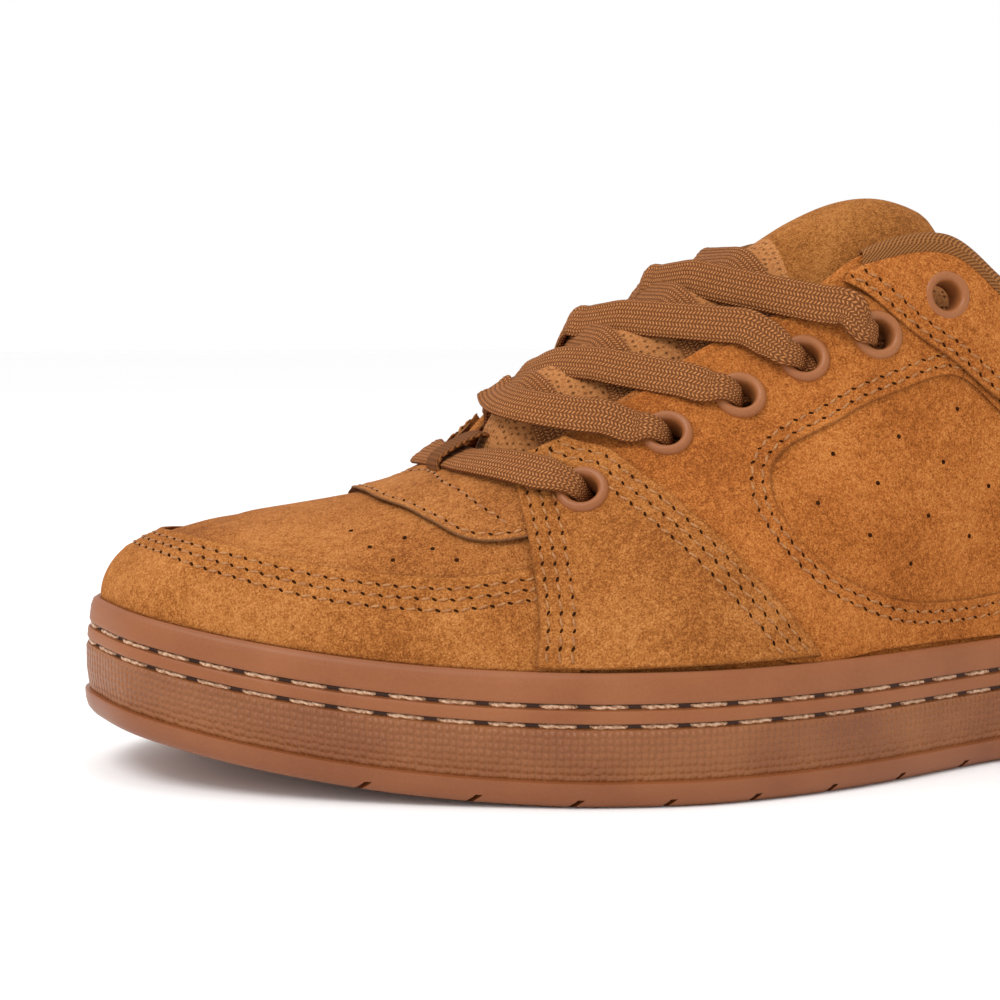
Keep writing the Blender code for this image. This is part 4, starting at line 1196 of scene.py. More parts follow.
@dataclass
class Cupsole:
    """The gum rubber cup: outsole band, ledge, pebbled band, two stitched grooves and foxing."""

    form: Form
    finishes: Finishes
    around: int = 440
    stitch_pitch: float = 10.3 * MM
    ring_step: float = 0.55 * MM
    tread_half: float = 0.7 * MM
    tread_deep: float = 2.1 * MM
    tread_reach: float = 0.15
    tread_sink: float = 0.2 * MM

    def rings(self) -> tuple[Array, Array, list[int]]:
        """Rings from the middle of the underside to the middle of the floor inside.

        Returns:
            Points and UV places by ring, and each ring's finish number.
        """
        form, s = self.form, self.form.s
        places = form.even_places(self.around)
        girth = np.linspace(0, 72.0, self.around + 1)
        rings, marks, kinds = [], [], []

        def lay(flat: Array, height: Array, kind: int, mark: float) -> None:
            """Adds one ring."""
            rings.append(np.column_stack([flat, np.broadcast_to(height, len(flat))]))
            marks.append(np.column_stack([girth, np.full(len(girth), mark)]))
            kinds.append(kind)

        def cap(inset: float, shares: tuple, height_of: object, kind: int) -> None:
            """Adds rings that close towards the middle line."""
            start = form.outline(places, inset)
            middle = form.spine(start)
            for share in shares:
                flat = start * (1 - share) + middle * share
                lay(flat, height_of(flat[:, 0]), kind, share)

        cap(0.60 * s.cup_wall, (0.88, 0.65, 0.45, 0.25, 0.10, 0.03), form.sole_bottom, Band.OUTSOLE)
        for low, high in zip(np.array(SIDE_BANDS[:-1]), np.array(SIDE_BANDS[1:])):
            apart = np.hypot(*((high - low) * (s.cup_wall, s.wall_height)))
            for share in np.linspace(0, 1, max(1, int(apart / self.ring_step)), endpoint=False):
                inset, up = low * (1 - share) + high * share
                flat = form.outline(places, inset * s.cup_wall)
                lay(flat, form.side_height(flat[:, 0], up), self.band(up), up * s.wall_height / UV_UNIT)
        inner = form.outline(places, s.cup_wall + s.slack)
        low, high = form.cup_floor(inner[:, 0]), form.side_height(inner[:, 0], s.lip)
        for share in (0.0, 0.3, 0.7, 1.0):
            lay(inner, high + (low - high) * share, Band.FOXING, share)
        cap(s.cup_wall + s.slack, (0.45, 0.88), form.cup_floor, Band.FOXING)
        return np.array(rings), np.array(marks), kinds

    @staticmethod
    def band(up: float) -> Band:
        """The finish at a share of the side's height."""
        # Faces in the recessed stitch grooves get the near-black finish, painted shade.
        if any(low < up < high for low, high in GROOVE_SPANS):
            return Band.GROOVE
        if up < LEDGE_UP:
            return Band.OUTSOLE
        return Band.PEBBLED if up < PEBBLES_UP else Band.FOXING

    def build(self) -> bpy.types.Object:
        """Models the cup, cuts its tread grooves and dresses each band."""
        finishes = self.finishes
        rings, marks, kinds = self.rings()
        cup = Bench.sheet("rubber_cupsole", rings, weld=True, close=True, spots=marks)
        dress(cup, finishes.outsole, finishes.pebbled, finishes.foxing, finishes.groove)
        rows = np.arange(len(cup.data.polygons)) // (rings.shape[1] - 1)
        numbers = np.array(kinds, np.int32)[np.minimum(rows, len(kinds) - 1)]
        cup.data.polygons.foreach_set("material_index", numbers)
        self.cut_treads(cup)
        Bench.smooth(cup, 35)
        record(cup, "gum_rubber", "cupsole")
        self.thread_grooves()
        return cup

    def cut_treads(self, cup: bpy.types.Object) -> None:
        """Cuts the leaning tread grooves across the underside."""
        cutters = []
        for x in TREADS:
            Bench.clear()
            level = float(self.form.sole_bottom(np.array([x]))[0]) - self.tread_sink
            size = (2 * self.tread_half, self.tread_reach, 2 * self.tread_deep)
            bpy.ops.mesh.primitive_cube_add(size=1, location=(x, 0, level), scale=size)
            bpy.ops.object.transform_apply(location=True, rotation=False, scale=True)
            box = bpy.context.object
            for point in box.data.vertices:
                point.co.x -= point.co.z - level
            cutters.append(box)
        Bench.clear()
        for box in cutters:
            box.select_set(True)
        bpy.context.view_layer.objects.active = cutters[0]
        bpy.ops.object.join()
        block = bpy.context.object
        Bench.finish(cup, "BOOLEAN", operation="DIFFERENCE", solver="EXACT", object=block)
        bpy.data.objects.remove(block, do_unlink=True)

    def thread_grooves(self) -> None:
        """Lays one twisted stitch after another in both grooves."""
        form, s = self.form, self.form.s
        for name, (inset, up) in (("sole_thread_low", GROOVE_LOW), ("sole_thread_high", GROOVE_HIGH)):
            places = form.even_places(1440)
            flat = form.outline(places, inset * s.cup_wall)
            line = np.column_stack([flat, form.side_height(flat[:, 0], up)])
            walked = walk(line)
            count = int(walked[-1] / self.stitch_pitch)
            spots = (np.arange(count) + 0.5) * walked[-1] / count
            middle, ahead = along_line(line, walked, spots)
            outward = np.cross(ahead, (0.0, 0.0, 1.0))
            outward *= -np.sign((outward[:, :2] * -middle[:, :2]).sum(1))[:, None]
            frames = placings(middle, ahead, outward)
            piece = Bench.join_copies(name, self.twisted_stitch(), frames, self.finishes.sole_thread)
            record(piece, "gum_rubber")

    def twisted_stitch(self) -> bpy.types.Object:
        """One stitch: a thick two-ply thread, flattened into the groove at both ends."""
        length, radius = 0.84 * self.stitch_pitch, 0.50 * MM
        turn = np.linspace(0, 2 * math.pi, 11)
        rings = []
        for share in np.linspace(0, 1, 25):
            x = np.full(len(turn), (share - 0.5) * length)
            swell = 1 + 0.20 * np.cos(2 * turn - share * 2 * math.pi * 3)
            taper = min(1.0, 6 * share + 0.25, 6 * (1 - share) + 0.25)
            dip = -0.9 * MM * (2 * share - 1) ** 6
            across, up = np.cos(turn) * radius * swell * taper, np.sin(turn) * radius * swell * taper
            rings.append(np.column_stack([x, across, up + dip]))
        return Bench.sheet("stitch_pattern", np.array(rings), weld=True, close=True)


def along_line(line: Array, walked: Array, spots: Array) -> tuple[Array, Array]:
    """Points and directions on a line at walked distances."""
    middle = np.column_stack([np.interp(spots, walked, line[:, k]) for k in range(3)])
    after = np.column_stack([np.interp(spots + 0.4 * MM, walked, line[:, k]) for k in range(3)])
    before = np.column_stack([np.interp(spots - 0.4 * MM, walked, line[:, k]) for k in range(3)])
    return middle, unit(after - before)


def placings(middle: Array, ahead: Array, up: Array) -> Array:
    """Placing matrices with X ahead and Z up.

    Args:
        middle: Where each copy goes.
        ahead: Each copy's X direction.
        up: Each copy's outward direction.

    Returns:
        A 3 by 4 matrix for each copy.
    """
    side = unit(np.cross(up, ahead))
    up = np.cross(ahead, side)
    return np.stack([ahead, side, up, middle], axis=2)


@dataclass
class Stitching:
    """Rows of short stitches between needle holes painted dark as shade, laid on whatever panel is below."""

    form: Form
    finishes: Finishes
    pitch: float = 3.75 * MM
    lowest: float = 0.035
    highest: float = 0.965
    held_off: float = 4 * MM
    reach: float = 9 * MM

    def pattern(self) -> bpy.types.Object:
        """One stitch with its needle hole, modelled once; the hole is a flat disc of painted shade."""
        parts = []
        for spot, size, turn, rings in (
            ((0.0, 0.0, 0.04 * MM), (1.15 * MM, 0.34 * MM, 0.30 * MM), 0.22, 6),
            # The second part is the needle hole: a thin disc in the painted-shade finish.
            ((self.pitch / 2, 0.0, 0.03 * MM), (0.62 * MM, 0.30 * MM, 0.14 * MM), -0.5, 4),
        ):
            Bench.clear()
            bpy.ops.mesh.primitive_uv_sphere_add(segments=8, ring_count=rings, radius=1)
            part = bpy.context.object
            part.location, part.scale, part.rotation_euler.z = spot, size, turn
            bpy.ops.object.transform_apply(location=True, rotation=True, scale=True)
            dress(part, self.finishes.thread, self.finishes.hole)
            for face in part.data.polygons:
                face.material_index = len(parts)
            parts.append(part)
        Bench.clear()
        for part in parts:
            part.select_set(True)
        bpy.context.view_layer.objects.active = parts[0]
        bpy.ops.object.join()
        return bpy.context.object

    def row(self, name: str, lines: list[Array], below: list[bpy.types.Object]) -> None:
        """Sews rows of (place, rise) points onto the panels below.

        Args:
            name: The seam's name.
            lines: One array of (place, rise) points for each row.
            below: The panels that may carry the stitches.
        """
        trees = [Bench.tree(piece) for piece in below]
        frames = []
        for line in lines:
            line = line[(line[:, 1] > self.lowest) & (line[:, 1] < self.highest)]
            fine = smooth_line(line, 260)
            points = self.form.lifted(fine[:, 0], fine[:, 1], self.held_off)
            normals = self.form.normals(fine[:, 0], fine[:, 1])
            walked = walk(points)
            count = max(2, int(walked[-1] / self.pitch))
            spots = (np.arange(count) + 0.5) * walked[-1] / count
            middle, ahead = along_line(points, walked, spots)
            outward = np.column_stack([np.interp(spots, walked, normals[:, k]) for k in range(3)])
            for k in range(count):
                hit = self.drop(trees, middle[k], outward[k])
                if hit is not None:
                    frames.append((hit[0], ahead[k], hit[1]))
        if not frames:
            return
        frames = placings(*(np.array([found[k] for found in frames]) for k in range(3)))
        piece = Bench.join_copies(name, self.pattern(), frames, self.finishes.thread, self.finishes.hole)
        record(piece, "suede")

    @classmethod
    def drop(cls, trees: list[BVHTree], point: Array, outward: Array) -> tuple[Array, Array] | None:
        """The first surface below a point held off the wall, and its normal."""
        best = None
        for tree in trees:
            spot, normal, _, distance = tree.ray_cast(Vector(point), Vector(-outward), cls.reach)
            if spot is not None and (best is None or distance < best[0]):
                best = (distance, np.array(spot), np.array(normal))
        return None if best is None else (best[1], best[2])


@dataclass
class Upper:
    """The suede upper: a lasted shell and the panels sewn over it."""

    form: Form
    finishes: Finishes
    around: int = 420
    panel_sink: float = 0.5 * MM
    lift_quarter: float = 0.8 * MM
    lift_rand: float = 1.15 * MM
    lift_saddle: float = 1.5 * MM
    lift_side: float = 2.3 * MM
    lift_collar: float = 1.7 * MM
    window_from: float = 11.6
    window_to: float = 27.0
    round_off: float = 0.8 * MM
    tuck_deep: float = 8 * MM

    def relief(self, places: Array, rises: Array) -> Array:
        """Soft dents and creases of a worn-in last, in metres, at places on the wall."""
        point = self.form.wall(places, rises)
        x, y, z = point.T
        soft = 0.16 * MM * np.sin(x / 0.0085 + 1.7 * np.sin(z / 0.013))
        soft *= np.sin(z / 0.0105 + y / 0.017 + 0.6)
        soft += 0.10 * MM * np.sin(x / 0.0042 + y / 0.0061) * np.sin(z / 0.0049 + 1.1)
        for line, deep, wide in CREASES:
            spots = smooth_line(line, 40)
            track = self.form.wall(spots[:, 0], spots[:, 1])
            fade = np.sin(np.linspace(0.12, math.pi - 0.12, 40))
            away = np.linalg.norm(point[:, None, :] - track[None, :, :], axis=2)
            near = away.argmin(axis=1)
            share = away[np.arange(len(point)), near] / wide
            soft -= deep * fade[near] * (1 - 1.2 * share**2) * np.exp(-(share**2))
        return soft

    def shell(self) -> bpy.types.Object:
        """The vamp and lining in one: outer wall, rolled rim and padded inside, cut at the eyelets."""
        form, s = self.form, self.form.s
        places = form.even_places(self.around)
        rings, kinds = [], []
        under = form.outline(places, s.cup_wall + s.slack + s.gap)
        rings.append(np.column_stack([under, form.cup_floor(under[:, 0]) + s.gap]))
        kinds.append(1)
        for rise in np.linspace(0, 1, 92):
            rises = np.full(len(places), rise)
            fade = min(1.0, rise / 0.06, (1 - rise) / 0.03 + 0.001)
            rings.append(form.lifted(places, rises, self.relief(places, rises) * fade))
            kinds.append(0)
        edge, last, out, half = form.opening(places)
        for turn in np.linspace(0, math.pi, 9)[1:-1]:
            rings.append(edge - last * half + half * (out * math.cos(turn) + last * math.sin(turn)))
            kinds.append(0 if turn < 1.6 else 1)
        for rise in np.linspace(1, 0, 36):
            rises = np.full(len(places), rise)
            rings.append(form.lifted(places, rises, -form.thickness(places, rises)))
            kinds.append(1)
        inner = form.outline(places, s.cup_wall + s.slack + s.gap + s.leather)
        rings.append(np.column_stack([inner, form.cup_floor(inner[:, 0]) + s.gap]))
        kinds.append(1)
        rings.append(rings[0])
        grid = np.array(rings)
        shell = Bench.sheet("suede_vamp_shell", grid, weld=True)
        dress(shell, self.finishes.vamp, self.finishes.lining, self.finishes.window)
        rows = np.arange(len(shell.data.polygons)) // (grid.shape[1] - 1)
        numbers = np.array(kinds + [1], np.int32)[rows]
        column = np.arange(len(shell.data.polygons)) % (grid.shape[1] - 1)
        behind = (places[column] < self.window_from) | (places[column] > self.window_to)
        numbers[behind & (numbers == 0)] = 2
        shell.data.polygons.foreach_set("material_index", numbers)
        return shell

    def panel(
        self,
        name: str,
        first: Array,
        second: Array,
        lift: float,
        finish: bpy.types.Material,
        step: float = 0.8 * MM,
        puff: float = 0.0,
        grooves: list[Array] | tuple = (),
        soft_ends: bool = False,
        raw: float = 0.55,
    ) -> bpy.types.Object:
        """A sewn panel ruled between two lines of (place, rise) points, with rounded cut edges.

        Args:
            name: The panel's name.
            first: Points along one edge.
            second: As many points along the other edge.
            lift: How far its face stands off the form.
            finish: Its material.
            step: Spacing of its points.
            puff: How much its middle swells.
            grooves: Rows of stitching, as (place, rise) lines, that pull the face down.
            soft_ends: True where the ends are hidden and need no rounding.
            raw: How dark its cut edge is, from 0 to 1.

        Returns:
            The panel.
        """
        form = self.form
        middle = len(first) // 2
        across = np.array([form.wall(p[:, 0], p[:, 1])[middle] for p in (first, second)])
        width = max(4 * MM, float(np.linalg.norm(across[1] - across[0])))
        shares = band_shares(width, step)
        grid = first[None] * (1 - shares)[:, None, None] + second[None] * shares[:, None, None]
        places, rises = grid[..., 0].ravel(), grid[..., 1].ravel()
        edge = np.minimum(shares, 1 - shares)[:, None] * width * np.ones(len(first))[None]
        if not soft_ends:
            walked = walk(form.wall(first[:, 0], first[:, 1]))
            edge = np.minimum(edge, np.minimum(walked, walked[-1] - walked)[None])
        edge = edge.ravel()
        face = np.sqrt(np.clip(1 - (1 - np.clip(edge / self.round_off, 0, 1)) ** 2, 0, 1))
        lifts = lift - 0.45 * MM * (1 - face)
        lifts = lifts + puff * np.sin(np.pi * np.repeat(shares, len(first)))
        lifts = lifts + self.relief(places, rises) * np.clip(edge / (3 * MM), 0, 1)
        points = form.wall(places, rises)
        for line in grooves:
            track = form.wall(line[:, 0], line[:, 1])
            near = nearest(points, track)
            lifts = lifts - 0.34 * MM * np.exp(-((near / (0.85 * MM)) ** 2))
            lifts = lifts + 0.10 * MM * np.exp(-(((near - 1.7 * MM) / (0.8 * MM)) ** 2))
        solid = (points + form.normals(places, rises) * lifts[:, None]).reshape(*grid.shape[:2], 3)
        piece = Bench.sheet(name, solid, flip=self.turned(solid, places, rises, grid.shape))
        Bench.note(piece, "rim", np.clip(1.2 - edge / (0.45 * MM), 0, 1) * raw)
        thick = lift + self.panel_sink
        Bench.finish(piece, "SOLIDIFY", thickness=thick, offset=-1.0, use_even_offset=False)
        dress(piece, finish)
        return piece

    def turned(self, solid: Array, places: Array, rises: Array, shape: tuple) -> bool:
        """Whether a ruled sheet faces inwards and has to be flipped."""
        row, column = shape[0] // 2, shape[1] // 2
        ahead = solid[row, column + 1] - solid[row, column]
        across = solid[row + 1, column] - solid[row, column]
        index = row * shape[1] + column
        outward = self.form.normals(places[index : index + 1], rises[index : index + 1])[0]
        return float(np.dot(np.cross(ahead, across), outward)) < 0

    def build(self) -> dict[str, bpy.types.Object]:
        """Models the shell and every panel, cuts the eyelet holes and sews the seams."""
        self.pieces = {"shell": self.shell()}
        self.rows = {}
        self.rand()
        self.saddle()
        for side in Side:
            self.quarter(side)
            self.side_panel(side)
        self.collar()
        self.cut_eyelets()
        for name, piece in self.pieces.items():
            Bench.smooth(piece, 38)
            record(piece, "suede", *(["upper"] if name == "shell" else []))
        sew = Stitching(self.form, self.finishes)
        for name, (lines, below) in self.rows.items():
            sew.row(name, lines, [self.pieces[below]])
        return self.pieces

    def beside(self, line: Array, *steps: float) -> list[Array]:
        """Rows of stitching beside a seam, each a step in mm to one side of it."""
        return [self.form.shifted(line, step * MM) for step in steps]

    def rand(self) -> None:
        """The toe rand with its three rows."""
        top = smooth_line(RAND_TOP, 300)
        low = np.column_stack([top[:, 0], np.full(len(top), 0.012)])
        rows = self.beside(top, 2.6, 4.9, 7.1)
        self.pieces["rand"] = self.panel(
            "suede_toe_rand", low, top, self.lift_rand, self.finishes.rand, grooves=rows, soft_ends=True
        )
        self.rows["toe_rand_stitches"] = (rows, "rand")

    def saddle(self) -> None:
        """The saddle over the vamp, with one row along its edge and one across it."""
        edge = smooth_line(SADDLE_EDGE, 220)
        top = np.column_stack([edge[:, 0], np.full(len(edge), 0.990)])
        rows = [*self.beside(edge, -1.9), smooth_line(SADDLE_LINE, 160)]
        self.pieces["saddle"] = self.panel(
            "suede_saddle",
            edge,
            top,
            self.lift_saddle,
            self.finishes.saddle,
            grooves=rows,
            soft_ends=True,
            raw=0.8,
        )
        self.rows["saddle_stitches"] = (rows, "saddle")

    def quarter(self, side: Side) -> None:
        """One quarter round its window, with two rows."""
        turn = 1 if side is Side.LATERAL else -1
        window, outer = closed_line(WINDOW[side], 360), closed_line(QUARTER_EDGE[side], 360)
        rows = self.beside(window, -turn * 2.0, -turn * 4.3)
        key = f"quarter_{side.value}"
        self.pieces[key] = self.panel(
            f"suede_{key}",
            window,
            outer,
            self.lift_quarter,
            self.finishes.quarter,
            step=0.9 * MM,
            grooves=rows,
            soft_ends=True,
        )
        self.rows[f"window_stitches_{side.value}"] = (rows, key)

    def side_panel(self, side: Side) -> None:
        """One side panel, with three rows along its front and three along its diagonal."""
        turn = 1 if side is Side.LATERAL else -1
        front, diagonal = smooth_line(FRONT_SEAM[side], 120), smooth_line(DIAGONAL[side], 120)
        rows = self.beside(front, *(-turn * step for step in (2.0, 4.6, 7.2)))
        rows += self.beside(diagonal, *(turn * step for step in (2.1, 4.6, 7.2)))
        key = f"side_{side.value}"
        self.pieces[key] = self.panel(
            f"suede_{key}", front, diagonal, self.lift_side, self.finishes.rand, grooves=rows
        )
        self.rows[f"side_stitches_{side.value}"] = (rows, key)

    def collar(self) -> None:
        """The padded collar panel, with two rows."""
        seam = smooth_line(COLLAR_SEAM, 420)
        top = np.column_stack([seam[:, 0] * 0.985, np.maximum(0.984, seam[:, 1] + 0.004)])
        rows = self.beside(seam, -1.7, -4.1)
        self.pieces["collar"] = self.panel(
            "suede_collar",
            seam,
            top,
            self.lift_collar,
            self.finishes.quarter,
            puff=0.9 * MM,
            grooves=rows,
            soft_ends=True,
        )
        self.rows["collar_stitches"] = (rows, "collar")

    def tuck(self, piece: bpy.types.Object, centre: Array, outward: Array) -> None:
        """Turns a panel's leather down into an eyelet's hole."""
        mesh = piece.data
        spots = np.empty(len(mesh.vertices) * 3, np.float32)
        mesh.vertices.foreach_get("co", spots)
        spots = spots.reshape(-1, 3).astype(float)
        apart = spots - centre
        height = apart @ outward
        reach = np.linalg.norm(apart - height[:, None] * outward, axis=1)
        inside = (reach < self.form.s.eyelet_hole / 2 + 0.9 * MM) & (np.abs(height) < 6 * MM)
        spots[inside] -= outward * self.tuck_deep
        mesh.vertices.foreach_set("co", spots.astype(np.float32).ravel())
        mesh.update()

    def cut_eyelets(self) -> None:
        """Opens each eyelet's hole through the shell and the panel over it."""
        for piece in self.pieces.values():
            Bench.pick(piece)
            bpy.ops.object.mode_set(mode="EDIT")
            bpy.ops.mesh.select_all(action="SELECT")
            bpy.ops.mesh.normals_make_consistent(inside=False)
            bpy.ops.object.mode_set(mode="OBJECT")
        radius = self.form.s.eyelet_hole / 2 + 1.0 * MM
        for side in Side:
            over = [f"side_{side.value}", *[f"quarter_{side.value}"] * 4, "collar"]
            for panel, spot in zip(over, EYELETS[side]):
                centre, up, outward = eyelet_frame(self.form, *spot)
                Bench.clear()
                bpy.ops.mesh.primitive_cylinder_add(vertices=32, radius=radius, depth=22 * MM)
                drill = bpy.context.object
                drill.matrix_world = basis(centre, np.cross(up, outward), up, outward)
                bpy.context.view_layer.update()
                cut = ["shell"] if panel == "side_medial" else ["shell", panel]
                for name in cut:
                    piece = self.pieces[name]
                    Bench.finish(piece, "BOOLEAN", operation="DIFFERENCE", solver="EXACT", object=drill)
                if panel not in cut:
                    self.tuck(self.pieces[panel], centre, outward)
                bpy.data.objects.remove(drill, do_unlink=True)


def nearest(points: Array, track: Array) -> Array:
    """How far each point is from a line, in metres."""
    best = np.full(len(points), 1.0)
    for start, end in zip(track[:-1], track[1:]):
        way = end - start
        length = float(np.dot(way, way)) or 1e-12
        share = np.clip(((points - start) @ way) / length, 0, 1)
        best = np.minimum(best, np.linalg.norm(points - start - share[:, None] * way, axis=1))
    return best


def basis(centre: Array, x: Array, y: Array, z: Array) -> Matrix:
    """A placing matrix from a centre and three directions."""
    return Matrix([[x[k], y[k], z[k], centre[k]] for k in range(3)] + [[0, 0, 0, 1]])


def eyelet_frame(form: Form, place: float, rise: float, step: float) -> tuple[Array, Array, Array]:
    """An eyelet's centre, up the wall, and outward.

    Args:
        form: The lasted form.
        place: Its place among the sections.
        rise: Its share of the wall's way up.
        step: The panel's step below it, in mm.

    Returns:
        Centre, upward and outward.
    """
    places, rises = np.array([place]), np.array([rise])
    outward = form.normals(places, rises)[0]
    up = (form.wall(places, rises + 0.02) - form.wall(places, rises - 0.02))[0]
    up -= outward * np.dot(up, outward)
    return form.wall(places, rises)[0] + outward * step * MM, up / np.linalg.norm(up), outward


@dataclass
class Eyelets:
    """Rolled rubber rings in the holes."""

    form: Form
    finishes: Finishes
    turn_count: int = 48

    def build(self) -> list[bpy.types.Object]:
        """Turns one profile into a ring in each hole."""
        s = self.form.s
        hole, rim = s.eyelet_hole / 2 + 0.3 * MM, s.eyelet_width / 2
        profile = smooth_line(
            (
                (hole + 0.60 * MM, -4.6 * MM),
                (hole, -4.5 * MM),
                (hole - 0.02 * MM, 0.2 * MM),
                (hole + 0.25 * MM, 1.45 * MM),
                (hole + 1.15 * MM, 2.0 * MM),
                (rim - 0.45 * MM, 1.65 * MM),
                (rim, 0.85 * MM),
                (rim - 0.25 * MM, 0.1 * MM),
                (hole + 0.65 * MM, 0.0 * MM),
                (hole + 0.60 * MM, -4.6 * MM),
            ),
            26,
        )
        found = []
        for side in Side:
            for number, spot in enumerate(EYELETS[side], 1):
                centre, up, outward = eyelet_frame(self.form, *spot)
                along = np.cross(up, outward)
                rings = []
                for turn in np.linspace(0, 2 * math.pi, self.turn_count + 1):
                    spoke = along * math.cos(turn) + up * math.sin(turn)
                    rings.append(centre + spoke * profile[:, :1] + outward * profile[:, 1:])
                ring = Bench.sheet(f"ring_{side.value}_{number}", np.array(rings), weld=True)
                dress(ring, self.finishes.eyelet)
                Bench.smooth(ring, 50)
                record(ring, "eyelet_rubber", f"eyelet_{side.value}_{number}")
                found.append(ring)
        return found


@dataclass
class Tongue:
    """The padded tongue: mesh with a suede top, arched under both eyestays."""

    form: Form
    finishes: Finishes
    stations: int = 130
    suede_starts: float = -0.006
    piping: float = 5.0 * MM

    def build(self) -> bpy.types.Object:
        """Models the tongue as a padded loft with a soft end."""
        rows = self.form.tongue_rows(self.stations)
        spread = np.linspace(-1, 1, 61)
        under = np.linspace(1, -1, 31)
        rings, marks = [], []
        ease = np.minimum(1, (np.arange(self.stations)[::-1] + 0.6) / 7) ** 0.5
        for k, (x, crown, half, drop, thick) in enumerate(rows):
            low, high = rows[max(k - 1, 0)], rows[min(k + 1, len(rows) - 1)]
            slope = math.atan2(high[1] - low[1], low[0] - high[0])
            swell = thick * 0.5 * (1 - ease[k])
            edge = 1 - np.abs(spread) ** 9
            apart = np.abs(spread) * half - (half - self.piping)
            channel = 0.55 * MM * np.exp(-((apart / (0.9 * MM)) ** 2))
            fall = thick * 0.42 * (1 - edge) + swell + channel
            level = crown - drop * spread**2
            back, down = math.sin(slope), math.cos(slope)
            top = np.column_stack([x - fall * back, spread * half, level - fall * down])
            depth = thick * (1 - 0.42 * np.abs(under) ** 5) - swell
            base = crown - drop * under**2
            bottom = np.column_stack([x - depth * back, under * (half - 0.3 * MM), base - depth * down])
            ring = np.vstack([top, bottom[1:-1], top[:1]])
            rings.append(ring)
            marks.append(np.column_stack([np.linspace(0, 10, len(ring)), np.full(len(ring), k * 0.11)]))
        spots = np.array(marks)
        tongue = Bench.sheet("padded_tongue", np.array(rings), weld=True, close=True, spots=spots)
        dress(tongue, self.finishes.mesh, self.finishes.tongue)
        Bench.smooth(tongue, 60)
        for face in tongue.data.polygons:
            middle = face.center
            share = np.interp(middle.x, rows[::-1, 0], rows[::-1, 2])
            inner = abs(middle.y) < share - self.piping
            if middle.x < self.suede_starts and inner and face.normal.z > 0.1:
                face.material_index = 1
        record(tongue, "tongue_suede", "tongue")
        return tongue


